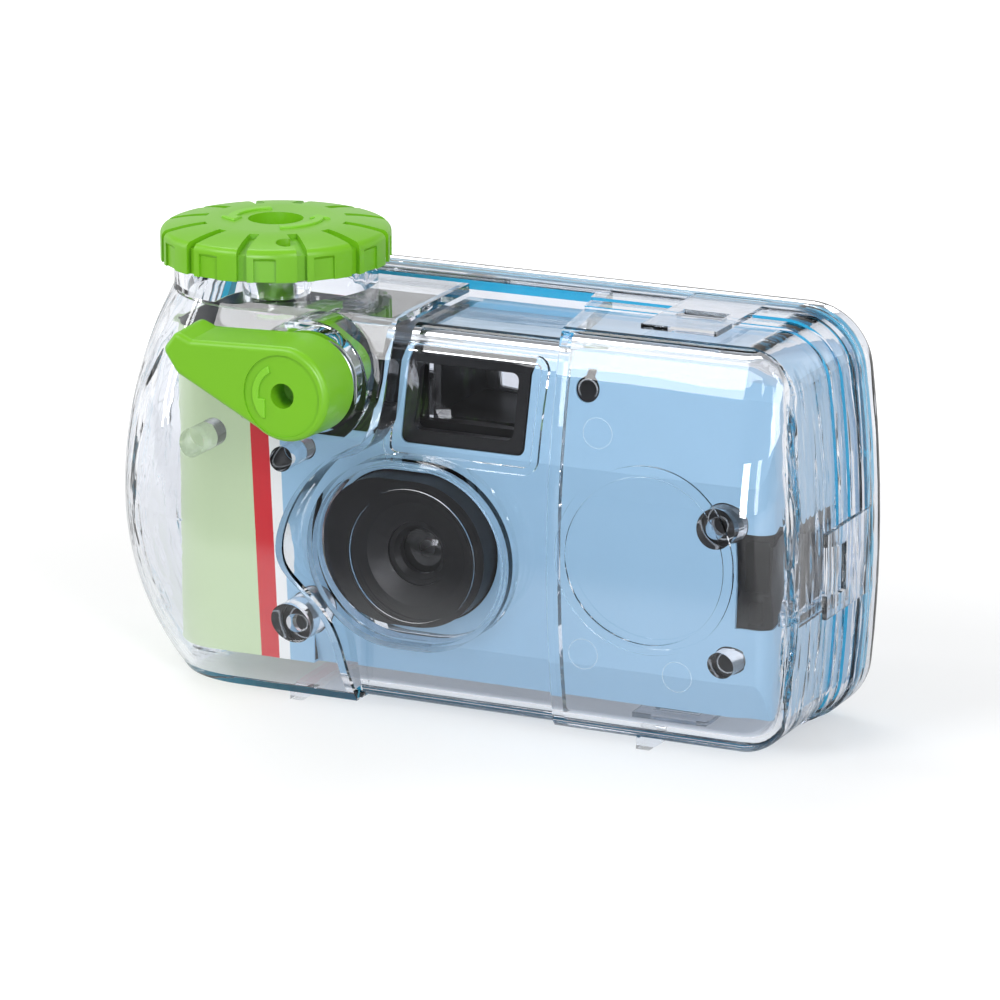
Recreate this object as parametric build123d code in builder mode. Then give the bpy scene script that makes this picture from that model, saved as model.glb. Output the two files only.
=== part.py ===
from build123d import *
import os
from math import atan2, cos, degrees, pi, radians, sin, sqrt

# Waterproof single-use film camera, in millimetres: +X to the viewer's right, the
# front towards -Y, +Z up, and the origin under the middle of the whole object
os.makedirs("parts", exist_ok=True)

# Gaps and overruns that every piece shares
overrun = 1.0
fit_gap = 0.05
nest_gap = 0.3

# Clear case: the rim is the full outline, and the body is drawn in from it
case_width = 125.0
case_height = 68.0
case_back = 27.0
case_wall = 1.8
rim_step = 1.5
corner_top = 11.0
corner_bottom = 10.0
corner_inset_share = 1.5
corner_left = 1.8
side_bow = 220.0
bow_height = 31.0
bow_high = 75.0
bow_low = 90.0
barrel_bow_low = 50.0
flange_front = 16.0
flange_back = 20.0
terrace_count = 2
terrace_depth = 3.8
mid_front = -12.5
mid_top_drop = 2.2
right_front = -14.5
right_edge_front = 21.0
right_edge_back = 15.0
plan_corner = 9.0
plan_inset_share = 2.0
front_round = 3.0

# Knob axis, which is also the axis of the barrel at the left of the case
knob_x = -37.1
knob_y = 5.8
barrel_radius = case_width / 2 + knob_x
left_edge_low = -15.0
left_edge_mid = -23.3
left_edge_high = -7.0
left_edge_turn_low = 10.0
left_edge_turn_mid = 22.0
left_edge_turn_high = 44.0

# Neck that the wind knob turns on
neck_radius = 16.75
neck_wall = 2.0
neck_rise = 3.4
neck_top = case_height + neck_rise
neck_flat_wall = 1.5
tube_radius = 5.5
tube_bottom = 62.2
gland_depth = 2.0
ring_section = 0.75

# Wind knob and its shaft
knob_radius = 18.9
knob_lap = 1.2
knob_bottom = neck_top - knob_lap
knob_height = 6.4
knob_top = knob_bottom + knob_height
knob_dome = 1.3
knob_dome_start = 10.0
knob_dome_share = 0.28
knob_skirt_radius = 17.4
knob_roof_gap = 0.6
knob_roof = neck_top + knob_roof_gap
knob_edge = 1.2
knob_recess_radius = 4.55
knob_recess_depth = 2.6
knob_lobes = 12
knob_phase = 10.1
groove_width = 1.7
groove_depth = 0.9
groove_inner = 11.6
knob_hole_radius = 1.6
knob_hole_place = 15.4
knob_hole_angle = -57.0
knob_socket_depth = 1.0
knob_socket_floor = knob_roof + knob_socket_depth
flute_width = 3.6
flute_depth = 0.45
flute_drop = 2.4
flute_slope = 0.5
flute_shift = 11.5
shaft_radius = 3.0
shaft_bottom = 57.0
shaft_flat = 1.8
shaft_flat_length = 2.6
clip_width = 1.4
clip_groove = 0.5
clip_height = 0.8
clip_opening = 3.0

# Shutter lever, its boss on the case and its shaft
lever_x = -19.5
lever_z = 56.2
lever_front = -27.0
lever_back = -18.2
lever_hub = 8.4
lever_draft = 2.5
lever_round = 1.0
lever_tip_x = -41.3
lever_tip_top = 65.2
lever_tip_bottom = 57.6
lever_crook_x = -35.6
lever_crook_z = 64.0
lever_nose_x = -38.6
lever_tip_z = 61.6
lever_heel_x = -38.6
lever_low_x = -24.2
lever_low_z = 50.1
lever_tip_round = 1.6
lever_hole_radius = 2.05
lever_hole_depth = 5.0
lever_dish_radius = 6.7
lever_dish_depth = 0.3
lever_socket = 3.0
boss_radius = 10.4
boss_front = -17.8
boss_wall = 2.0
lever_shaft_radius = 2.6
lever_shaft_end = -5.8
lever_tube_radius = 4.8
lever_tube_back = -9.6

# Lens port of the case
port_x = -2.5
port_z = 29.3
port_width = 35.4
port_height = 31.0
port_corner = 15.4
port_front = -17.2
port_wall = 1.0
port_window = -15.6
port_window_wall = 1.5
ring_mark_radius = 11.06
ring_mark_width = 0.5
ring_mark_height = 0.35

# Raised pane of the case in front of the finder, and the round emboss beside it
pane_left = -9.2
pane_right = 18.0
pane_bottom = 43.6
pane_height = 0.7
pane_corner = 2.5
pane_border = 1.2
emboss_x = 37.8
emboss_z = 32.6
emboss_outer = 15.3
emboss_inner = 13.6
emboss_height = 0.4

# Feet under the front of the case
foot_places = (-25.3, 36.6)
foot_width = 4.4
foot_tip = 2.2
foot_front = -9.4
foot_length = 3.0

# Latch tongues of the rear case
tongue_thick = 0.85
tongue_gap = 0.1
tongue_low_front = 3.0
tongue_side_front = 1.5
tongue_top_front = -2.0
tongue_top_x = 38.0
tongue_low_x = 35.0
tongue_root = 2.0
tongue_top_width = 13.0
tongue_side_z = 29.0
tongue_side_width = 14.0
tongue_slot_front = 6.0
tongue_slot_back = 9.5
tongue_slot_width = 8.0
latch_height = 1.1
latch_gap = 0.15

# Seal, which lies in a shallow seat of the front and a deeper one of the rear
seal_inset = 1.5
seal_width = 1.5
seal_sunk = 0.6
seal_back = 22.3
rear_round = 4.0
back_pane_width = 20.0
back_pane_height = 12.0
back_pane_depth = 0.8
rib_left = 57.2
rib_right = 60.5
rib_front = -5.0
rib_back = 13.0
rib_bottom = 22.2
rib_top = 24.2

# Inner camera, a box whose front slopes back above the lens
cam_left = -51.5
cam_right = 56.4
cam_front = -8.3
cam_back = 24.0
cam_bottom = 7.5
cam_top = 60.2
cam_wall = 1.2
cam_split = 6.0
cam_left_round = 10.0
cam_right_round = 2.5
slope_left = -23.0
slope_start = 45.0
slope_back = 3.2
bevel_high = 2.0
bevel_back = 2.2
bevel_low_high = 5.5
bevel_low_back = 1.4
label_thick = 0.3

# Lens and its shroud on the inner camera
lens_x = -2.4
lens_z = 28.8
shroud_front = -13.3
shroud_radius = 12.1
shroud_left = -18.8
shroud_corner_top = 10.5
shroud_corner_bottom = 12.0
shroud_wall = 1.3
well_radius = 8.7
well_depth = 1.0
well_floor_radius = 5.4
peg_socket_depth = 0.8
peg_hole_gap = 0.15
shaft_hole_radius = 3.8
retainer_chamfer = 0.8
lens_dome_share = 0.5
label_top_left = -8.0
label_cut_left = -36.0
label_cut_right = -10.0
label_cut_bottom = 46.5
label_side_cut_left = 50.7
label_side_cut_back = 13.0
label_side_cut_bottom = 22.1
label_side_cut_top = 37.6
label_cut_gap = 0.3
slot_x = 24.3
slot_width = 1.6
slot_top = 60.0
hood_rise = 0.35
plate_left = 53.1
plate_right = 57.1
plate_front = -8.9
plate_back = 1.0
plate_bottom = 28.0
plate_top = 36.1
lens_seat_radius = 4.3
lens_tube_radius = 7.0
lens_front = -10.9
lens_thick = 2.6
lens_rise = 0.9
lens_clear_radius = 3.6
lens_tube_back = -7.0
ledge_radius = 3.0
retainer_inner = 3.7
retainer_front = -12.0
aperture_radius = 1.2
aperture_plate_thick = 0.3

# Finder
finder_left = -7.0
finder_right = 14.2
finder_bottom = 46.0
finder_border = 1.9
finder_corner = 1.3
finder_lens_front = -2.2
finder_lens_thick = 2.4
finder_lens_dish = 1.5
finder_dish_radius = 24.0
finder_box_left = -6.5
finder_box_right = 13.7
finder_box_front = -2.4
finder_box_top = 58.9
eyepiece_width = 9.0
eyepiece_height = 7.0
eyepiece_front = 20.9
eyepiece_rim = 1.0
eyepiece_rim_thick = 1.5

# Frame of the inner camera
frame_left = -23.4
frame_right = 30.6
frame_front = -3.4
frame_back = 20.7
frame_bottom = 8.75
frame_deck = 48.4
frame_wall = 1.3
gate_width = 36.0
gate_height = 24.0
gate_throat = 7.0
film_height = 35.0
film_thick = 0.2
film_gap = 0.2

# Film cassette, wheel and spools
cassette_radius = 12.3
cassette_bottom = 8.75
cassette_top = 53.0
cassette_wall = 0.5
spool_core = 5.5
spool_flange = 11.4
spool_flange_thick = 1.2
spool_top = 54.9
spool_hub_radius = 4.0
hub_gap = 0.08
wheel_radius = 10.9
wheel_bottom = 55.3
wheel_top = 58.4
wheel_teeth = 40
wheel_tooth = 0.6
wheel_pin_radius = 2.0
wheel_pin_length = 2.4
supply_x = 43.4
supply_y = 8.0
supply_core = 4.5
supply_pin_radius = 1.8
supply_pin_top = 30.0
roll_radius = 11.2
lip_x = -28.5
lip_y = 16.8
lip_root = 0.4
lip_thick = 1.8
lip_margin = 0.6
lip_slit = 0.6
film_turn_left = -24.2
film_turn_right = 31.0
film_end_x = 40.5
film_end_y = 19.45
film_bend = 3.0
sprocket_x = -20.4
sprocket_y = 14.5
sprocket_radius = 5.3
sprocket_teeth = 8
sprocket_tooth = 0.75
sprocket_thick = 1.6
sprocket_z = 44.4
sprocket_shaft = 1.5
sprocket_shaft_top = 50.6
sprocket_hub = 2.6
counter_x = -15.0
counter_y = 11.0
counter_radius = 7.0
counter_z = 57.0
counter_thick = 0.9
counter_shaft = 1.0
counter_notches = 30
counter_notch = 0.35
counter_shoulder = 2.0
counter_window_share = 0.6
counter_window_radius = 1.8
pawl_x = -22.0
pawl_y = 19.0
pawl_z = 55.6
pawl_thick = 0.8
pawl_width = 2.0
pawl_boss = 1.2
tooth_shares = ((0.0, 0.0), (0.25, 1.0), (0.5, 1.0), (0.75, 0.0))

# Shutter of the inner camera
button_x = -24.5
button_y = -0.5
button_radius = 2.2
button_top = 62.1
button_bottom = 55.3
button_round = 0.5
pocket_left = -27.5
pocket_right = -10.0
pocket_floor = -5.0
pocket_bottom = 51.2
arm_hub = 4.4
arm_front = -8.45
arm_thick = 2.4
arm_bar_width = 3.6
arm_bar_back = 1.2
blade_x = 6.4
blade_z = 37.2
blade_y = -6.4
blade_thick = 0.2
blade_tip = 3.0
blade_hub = 1.9
blade_tail_share = 0.3
post_radius = 0.8
post_boss = 1.6
post_back = -5.2
striker_post_back = -4.2
striker_x = 15.0
striker_z = 33.4
striker_y = -5.8
striker_reach = 6.2
striker_hub = 1.9

# Arm that the lever turns over the button
arm_bar_left = -26.3
arm_bar_bottom = 62.4
arm_bar_top = 63.8
arm_bar_drop = 1.6
arm_web_share = 0.7

# Springs
lever_coil_radius = 6.0
lever_coil_wire = 0.55
lever_coil_pitch = 1.1
lever_coil_turns = 3
lever_coil_leg = 4.0
coil_samples = 24
wire_sides = 8
ring_sides = 12
small_coil_radius = 1.5
small_coil_wire = 0.3
small_coil_pitch = 0.75
small_coil_turns = 1
small_coil_leg = 2.5
shutter_spring_start = -5.6
striker_spring_start = -4.95


def bow(z, low_radius):
    """How far the bowed front or side has drawn in at a height"""
    radius = bow_high if z > bow_height else low_radius
    return radius - sqrt(radius**2 - (z - bow_height) ** 2)


def between(a, b):
    """Middle of two values"""
    return (a + b) / 2


def front_plane(y):
    """Plane at a depth, seen from the front"""
    return Plane.XZ.offset(-y)


def case_outline(y, inset, top_drop=0.0):
    """Front view of the case, drawn in by inset"""
    half = case_width / 2 - inset
    low = inset
    high = case_height - inset - top_drop

    def side(z):
        return half - side_bow + sqrt(side_bow**2 - (z - bow_height) ** 2)

    def left(z):
        return -half + bow(z, barrel_bow_low)

    low_mid = between(low, bow_height)
    high_mid = between(high, bow_height)
    with BuildSketch(front_plane(y)) as outline:
        with BuildLine():
            ThreePointArc((left(low), low), (left(low_mid), low_mid), (-half, bow_height))
            ThreePointArc((-half, bow_height), (left(high_mid), high_mid), (left(high), high))
            Line((left(high), high), (side(high), high))
            ThreePointArc((side(high), high), (half, bow_height), (side(low), low))
            Line((side(low), low), (left(low), low))
        make_face()
        right = outline.vertices().filter_by(lambda v: v.X > 0)
        fillet(right.sort_by(Axis.Y)[-1], corner_top - corner_inset_share * inset)
        right = outline.vertices().filter_by(lambda v: v.X > 0)
        fillet(right.sort_by(Axis.Y)[0], corner_bottom - corner_inset_share * inset)
        left_low = outline.vertices().filter_by(lambda v: v.X < 0).sort_by(Axis.Y)[0]
        fillet(left_low, corner_left)
    return outline.sketch


def bowed_profile(plane, front, low, high, low_radius, back):
    """Side view of a bowed front, closed at the back"""
    low_mid = between(low, bow_height)
    high_mid = between(high, bow_height)

    def face(z):
        return front + bow(z, low_radius)

    with BuildSketch(plane) as profile:
        with BuildLine():
            Polyline((face(low), low), (back, low), (back, high), (face(high), high))
            ThreePointArc((face(high), high), (face(high_mid), high_mid), (front, bow_height))
            ThreePointArc((front, bow_height), (face(low_mid), low_mid), (face(low), low))
        make_face()
    return profile.sketch


def bowed_block(front, inset, top_drop):
    """Right and middle part of the front case as a solid, drawn in by inset"""
    edge = rim_step + inset
    high = case_height - edge - top_drop
    with BuildPart() as block:
        plane = Plane.YZ.offset(knob_x)
        profile = bowed_profile(plane, front + inset, edge, high, bow_low, flange_back)
        extrude(profile, amount=case_width / 2 - edge - knob_x + fit_gap)
        end = block.faces().sort_by(Axis.X)[-1]
        fillet(end.edges().filter_by(GeomType.CIRCLE), plan_corner - plan_inset_share * inset)
        outline = case_outline(flange_back + overrun, edge, top_drop)
        extrude(outline, amount=2 * case_back, mode=Mode.INTERSECT)
        ends = block.edges().filter_by(lambda e: e.center().X > knob_x and e.center().Y < 0)
        across = ends.filter_by(lambda e: abs((e @ 1 - e @ 0).Y) < case_wall * 2)
        upper = across.filter_by(lambda e: e.center().Z > between(bow_height, case_height))
        lower = across.filter_by(lambda e: e.center().Z < bow_height / 2)
        fillet(upper + lower, front_round)
    return block.part


def barrel_block(inset):
    """Left part of the front case: a turned barrel that runs on into a bowed front"""
    edge = rim_step + inset
    high = case_height - edge
    radius = barrel_radius - inset - fit_gap
    front = knob_y - radius
    side = knob_x - radius
    with BuildPart() as block:
        plane = Plane.YZ.offset(knob_x)
        profile = bowed_profile(plane, front, edge, high, barrel_bow_low, flange_back)
        extrude(profile, amount=-knob_x)
        quarter = bowed_profile(plane, front, edge, high, barrel_bow_low, knob_y)
        revolve(quarter, axis=Axis((knob_x, knob_y, 0), (0, 0, -1)), revolution_arc=90)
        profile = bowed_profile(front_plane(flange_back), side, edge, high, barrel_bow_low, knob_x)
        extrude(profile, amount=flange_back - knob_y)
    return block.part


def left_mask(inset):
    """Region of the front view that the barrel part keeps"""
    with BuildSketch(front_plane(flange_back)) as mask:
        with BuildLine():
            low = (left_edge_low - inset, 0)
            turn_low = (left_edge_low - inset, left_edge_turn_low)
            mid = (left_edge_mid - inset, between(left_edge_turn_mid, bow_height))
            turn_high = (left_edge_low + inset / 2 - inset, left_edge_turn_high)
            high = (left_edge_high - inset, lever_z)
            top = (left_edge_high - inset, case_height)
            Polyline(top, (-case_width, case_height), (-case_width, 0), low, turn_low)
            Spline(turn_low, mid, turn_high, high, tangents=((0, 1), (0, 1)))
            Line(high, top)
        make_face()
    return mask.sketch


def port_shape(y, grow):
    """Oval of the lens port at a depth"""
    with BuildSketch(front_plane(y)) as shape:
        with Locations((port_x, port_z)):
            RectangleRounded(
                port_width + 2 * grow, port_height + 2 * grow, port_corner + grow
            )
    return shape.sketch


def disc(y, x, z, radius):
    """Round face that looks to the front"""
    with BuildSketch(front_plane(y)) as shape:
        with Locations((x, z)):
            Circle(radius)
    return shape.sketch


def tongues(grow, reach):
    """The three latch tongues of the rear case, or with grow their notches"""
    middle = tongue_gap + tongue_thick / 2
    thick = tongue_thick + 2 * grow
    width = tongue_top_width + 2 * grow
    height = tongue_side_width + 2 * grow
    back = flange_back + reach
    top = between(tongue_top_front - grow, back)
    low = between(tongue_low_front - grow, back)
    side = between(tongue_side_front - grow, back)
    with BuildPart() as shape:
        with Locations((tongue_top_x, top, case_height - middle)):
            Box(width, 2 * (back - top), thick)
        with Locations((tongue_low_x, low, middle)):
            Box(width, 2 * (back - low), thick)
        with Locations((case_width / 2 - middle, side, tongue_side_z)):
            Box(thick, 2 * (back - side), height)
    return shape.part


def latches(shrink):
    """Catch nubs under the tongues, or with no shrink the windows over them"""
    length = tongue_slot_back - tongue_slot_front - 2 * shrink
    width = tongue_slot_width - 2 * shrink
    middle = between(tongue_slot_front, tongue_slot_back)
    reach = rim_step + case_wall / 2
    centre = reach / 2 + rim_step - latch_height if shrink else reach / 2
    with BuildPart() as shape:
        with Locations((tongue_top_x, middle, case_height - centre)):
            Box(width, length, reach)
        with Locations((tongue_low_x, middle, centre)):
            Box(width, length, reach)
        with Locations((case_width / 2 - centre, middle, tongue_side_z)):
            Box(reach, length, width)
    return shape.part


def right_mask(inset):
    """Region of the top view to the right of the slanting step"""
    front = (right_edge_front + inset, right_front - overrun)
    back = (right_edge_back + inset, flange_back + overrun)
    with BuildSketch() as mask:
        with BuildLine():
            Polyline(front, back, (case_width, back[1]), (case_width, front[1]), close=True)
        make_face()
    return mask.sketch


def right_zone(inset):
    """Raised right part of the front case, cut off along a slanting line"""
    with BuildPart() as zone:
        add(bowed_block(right_front, inset, 0))
        extrude(right_mask(inset), amount=case_height, mode=Mode.INTERSECT)
    return zone.part


def left_zone(inset):
    """Barrel part of the front case, cut off along its step beside the lens"""
    with BuildPart() as zone:
        add(barrel_block(inset))
        extrude(left_mask(inset), amount=case_width, mode=Mode.INTERSECT)
    return zone.part


def middle_zone(inset):
    """Lower part of the front case between the other two"""
    with BuildPart() as zone:
        add(bowed_block(mid_front, inset, mid_top_drop))
        extrude(right_mask(inset), amount=case_height, mode=Mode.SUBTRACT)
        extrude(left_mask(inset), amount=case_width, mode=Mode.SUBTRACT)
    return zone.part


def case_body(inset):
    """The three parts of the front case as one solid, drawn in by inset"""
    with BuildPart() as body:
        add(middle_zone(inset))
        add(right_zone(inset))
        add(left_zone(inset))
    return body.part


def upright(x, y, z, radius):
    """Round face that looks up"""
    with BuildSketch(Plane.XY.offset(z)) as shape:
        with Locations((x, y)):
            Circle(radius)
    return shape.sketch


def pillar(x, y, low, high, radius):
    """Upright cylinder between two heights"""
    with BuildPart() as shape:
        extrude(upright(x, y, low, radius), amount=high - low)
    return shape.part


def rod(x, z, front, back, radius):
    """Cylinder that runs from the front to the back"""
    with BuildPart() as shape:
        extrude(disc(back, x, z, radius), amount=back - front)
    return shape.part


def block(x_range, y_range, z_range):
    """Box between two corners"""
    with BuildPart() as shape:
        with Locations((between(*x_range), between(*y_range), between(*z_range))):
            Box(x_range[1] - x_range[0], y_range[1] - y_range[0], z_range[1] - z_range[0])
    return shape.part


def slab(place, length, width, height):
    """Box about a place"""
    with BuildPart() as shape:
        with Locations(place):
            Box(length, width, height)
    return shape.part


def solid(sketch, amount):
    """Sketch pushed out into a solid"""
    with BuildPart() as shape:
        extrude(sketch, amount=amount)
    return shape.part


def ring(x, y, low, high, outer, inner):
    """Upright ring between two heights"""
    with BuildPart() as shape:
        add(pillar(x, y, low, high, outer))
        add(pillar(x, y, low - overrun, high + overrun, inner), mode=Mode.SUBTRACT)
    return shape.part


def cross_ring(x, z, front, back, outer, inner):
    """Ring between two depths"""
    with BuildPart() as shape:
        add(rod(x, z, front, back, outer))
        add(rod(x, z, front - overrun, back + overrun, inner), mode=Mode.SUBTRACT)
    return shape.part


def front_rectangle(y, x_range, z_range, corner):
    """Rounded rectangle that looks to the front"""
    with BuildSketch(front_plane(y)) as shape:
        with Locations((between(*x_range), between(*z_range))):
            RectangleRounded(x_range[1] - x_range[0], z_range[1] - z_range[0], corner)
    return shape.sketch


# Places of the clear pegs that hold the inner camera, with their radii and bores
peg_places = (
    (-41.0, 43.6, 2.3, 0.0),
    (-24.6, 42.9, 2.0, 0.0),
    (-23.9, 15.4, 3.5, 1.6),
    (24.3, 57.1, 1.9, 0.0),
    (49.2, 39.0, 3.2, 1.6),
    (50.0, 16.8, 2.2, 0.0),
)
label_front = cam_front - fit_gap - label_thick
peg_end = label_front - fit_gap
peg_front = knob_y - barrel_radius

neck_roof = neck_top - neck_wall
bore_radius = shaft_radius + fit_gap
gland_radius = bore_radius + 2 * ring_section
lever_bore = lever_shaft_radius + fit_gap
lever_gland = lever_bore + 2 * ring_section
boss_cup = boss_front + boss_wall
boss_hollow = boss_radius - boss_wall
seal_front = flange_back - seal_sunk
rear_front = flange_back + fit_gap
groove_inset = seal_inset - fit_gap
hollow_inset = rim_step + case_wall


def full_profile(front, x_low, x_high):
    """Bowed front of the middle or right part between two places across"""
    plane = Plane.YZ.offset(x_low)
    high = case_height - rim_step
    profile = bowed_profile(plane, front, rim_step, high, bow_low, knob_y)
    return solid(profile, x_high - x_low)


# Raised border in front of the finder
pane_top = case_height - rim_step - mid_top_drop - pane_corner
pane_x = (pane_left, pane_right)
pane_z = (pane_bottom, pane_top)
pane_inner_x = (pane_left + pane_border, pane_right - pane_border)
pane_inner_z = (pane_bottom + pane_border, pane_top - pane_border)
with BuildPart() as pane:
    add(full_profile(mid_front - pane_height, pane_left, pane_right))
    outer = front_rectangle(knob_y, pane_x, pane_z, pane_corner)
    extrude(outer, amount=case_width, mode=Mode.INTERSECT)
    inner = front_rectangle(knob_y, pane_inner_x, pane_inner_z, pane_corner / 2)
    extrude(inner, amount=case_width, mode=Mode.SUBTRACT)

# Round emboss on the right part
with BuildPart() as emboss:
    x_low = emboss_x - emboss_outer - overrun
    x_high = emboss_x + emboss_outer + overrun
    add(full_profile(right_front - emboss_height, x_low, x_high))
    outer = disc(knob_y, emboss_x, emboss_z, emboss_outer)
    extrude(outer, amount=case_width, mode=Mode.INTERSECT)
    inner = disc(knob_y, emboss_x, emboss_z, emboss_inner)
    extrude(inner, amount=case_width, mode=Mode.SUBTRACT)

# Pegs, trimmed to start inside the front wall
with BuildPart() as pegs:
    for x, z, radius, bore in peg_places:
        add(rod(x, z, peg_front, peg_end, radius))
    add(case_body(case_wall / 2), mode=Mode.INTERSECT)
    for x, z, radius, bore in peg_places:
        if bore:
            add(rod(x, z, mid_front, peg_end, bore), mode=Mode.SUBTRACT)

# Wedge feet
with BuildPart() as feet:
    for x in foot_places:
        left = x - foot_width / 2
        top = rim_step * 2
        with BuildSketch(front_plane(foot_front + foot_length)):
            with BuildLine():
                Polyline(
                    (left, 0),
                    (left + foot_tip, 0),
                    (left + foot_width, rim_step),
                    (left + foot_width, top),
                    (left, top),
                    close=True,
                )
            make_face()
        extrude(amount=foot_length)

# Neck under the wind knob, cut flat behind so that the rear case closes against it
with BuildPart() as neck:
    add(pillar(knob_x, knob_y, lever_z, case_height + nest_gap, neck_radius))
    extrude(case_outline(flange_back, 0), amount=case_width, mode=Mode.INTERSECT)
    add(pillar(knob_x, knob_y, case_height - seal_inset, case_height + nest_gap, neck_radius))
    back = block(
        (-case_width, case_width), (flange_back, case_width), (0, case_height + nest_gap)
    )
    add(back, mode=Mode.SUBTRACT)
    add(pillar(knob_x, knob_y, case_height + nest_gap, neck_top, neck_radius))
with BuildPart() as neck_hollow:
    add(pillar(knob_x, knob_y, lever_z, neck_roof, neck_radius - neck_wall))
    back = block(
        (-case_width, case_width),
        (flange_back - neck_flat_wall, case_width),
        (0, case_width),
    )
    add(back, mode=Mode.SUBTRACT)

# Terraces that widen the right part of the case step by step towards the flange
with BuildPart() as terraces:
    for step in range(1, terrace_count + 1):
        inset = rim_step * step / (terrace_count + 1)
        extrude(case_outline(flange_front, inset), amount=terrace_depth * step)
    extrude(right_mask(0), amount=case_height, mode=Mode.INTERSECT)

# Front of the clear case
with BuildPart() as front_case:
    add(case_body(0))
    extrude(case_outline(flange_back, 0), amount=flange_back - flange_front)
    add(terraces.part)
    add(pane.part)
    add(emboss.part)
    add(neck.part)
    add(rod(lever_x, lever_z, boss_front, cam_front, boss_radius))
    add(solid(port_shape(cam_front, 0), cam_front - port_front))
    add(case_body(case_wall), mode=Mode.SUBTRACT)
    add(neck_hollow.part, mode=Mode.SUBTRACT)
    add(rod(lever_x, lever_z, boss_cup, flange_front, boss_hollow), mode=Mode.SUBTRACT)
    recess = port_shape(port_window, -port_wall)
    extrude(recess, amount=port_window - port_front + overrun, mode=Mode.SUBTRACT)
    inside = port_shape(flange_front, -port_wall)
    depth = flange_front - port_window - port_window_wall
    extrude(inside, amount=depth, mode=Mode.SUBTRACT)
    mark = port_window - ring_mark_height
    ring_outer = ring_mark_radius + ring_mark_width / 2
    ring_inner = ring_mark_radius - ring_mark_width / 2
    root = port_window + port_window_wall / 2
    add(rod(lens_x, lens_z, mark, root, ring_outer))
    add(rod(lens_x, lens_z, mark - overrun, port_window, ring_inner), mode=Mode.SUBTRACT)
    add(pegs.part)
    add(feet.part)
    add(block((rib_left, rib_right), (rib_front, rib_back), (rib_bottom, rib_top)))
    add(pillar(knob_x, knob_y, tube_bottom, neck_roof, tube_radius))
    add(pillar(knob_x, knob_y, tube_bottom, neck_top, bore_radius), mode=Mode.SUBTRACT)
    gland_top = tube_bottom + gland_depth
    add(pillar(knob_x, knob_y, tube_bottom, gland_top, gland_radius), mode=Mode.SUBTRACT)
    add(rod(lever_x, lever_z, boss_cup, lever_tube_back, lever_tube_radius))
    add(rod(lever_x, lever_z, boss_front, lever_tube_back, lever_bore), mode=Mode.SUBTRACT)
    gland_front = lever_tube_back - gland_depth
    add(rod(lever_x, lever_z, gland_front, lever_tube_back, lever_gland), mode=Mode.SUBTRACT)
    add(latches(latch_gap))
    groove = case_outline(flange_back, groove_inset)
    extrude(groove, amount=seal_sunk, mode=Mode.SUBTRACT)
    add(tongues(tongue_gap, overrun), mode=Mode.SUBTRACT)
front_case.part.label = "front_case"
export_step(front_case.part, "parts/front_case.step")

# Rear of the clear case
with BuildPart() as rear_case:
    extrude(case_outline(case_back, 0), amount=case_back - rear_front)
    back = rear_case.faces().sort_by(Axis.Y)[-1]
    fillet(back.edges(), rear_round)
    hollow = case_outline(case_back - case_wall, hollow_inset)
    extrude(hollow, amount=case_width, mode=Mode.SUBTRACT)
    groove = case_outline(seal_back, groove_inset)
    extrude(groove, amount=case_width, mode=Mode.SUBTRACT)
    finder_x = between(finder_box_left, finder_box_right)
    finder_z = between(frame_deck, finder_box_top - frame_wall)
    pane_x = (finder_x - back_pane_width / 2, finder_x + back_pane_width / 2)
    pane_z = (finder_z - back_pane_height / 2, finder_z + back_pane_height / 2)
    window = front_rectangle(case_back, pane_x, pane_z, pane_corner)
    extrude(window, amount=back_pane_depth, mode=Mode.SUBTRACT)
    add(tongues(0, tongue_root))
    add(latches(0), mode=Mode.SUBTRACT)
rear_case.part.label = "rear_case"
export_step(rear_case.part, "parts/rear_case.step")

# Gasket between the halves
with BuildPart() as seal_gasket:
    extrude(case_outline(seal_back, seal_inset), amount=seal_back - seal_front)
    inner = case_outline(seal_back, seal_inset + seal_width)
    extrude(inner, amount=seal_back - seal_front, mode=Mode.SUBTRACT)
seal_gasket.part.label = "seal_gasket"
export_step(seal_gasket.part, "parts/seal_gasket.step")

# Wind knob
with BuildPart() as knob_groove:
    with BuildSketch(Plane.XZ.offset(-groove_width / 2)):
        with BuildLine():
            edge = knob_radius - groove_depth
            beyond = knob_radius + overrun
            Polyline(
                (groove_inner, knob_top + overrun),
                (groove_inner, knob_top - groove_depth),
                (edge, knob_top - knob_dome - groove_depth),
                (edge, knob_bottom - overrun),
                (beyond, knob_bottom - overrun),
                (beyond, knob_top + overrun),
                close=True,
            )
        make_face()
    extrude(amount=groove_width)
with BuildPart() as knob_flute:
    with BuildSketch(Plane.XZ.offset(-flute_width / 2)):
        with BuildLine():
            floor = knob_radius - flute_depth
            beyond = knob_radius + overrun
            Polyline(
                (floor, knob_bottom - overrun),
                (floor, knob_top - flute_drop - flute_slope),
                (knob_radius, knob_top - flute_drop),
                (beyond, knob_top - flute_drop),
                (beyond, knob_bottom - overrun),
                close=True,
            )
        make_face()
    extrude(amount=flute_width)
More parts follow.
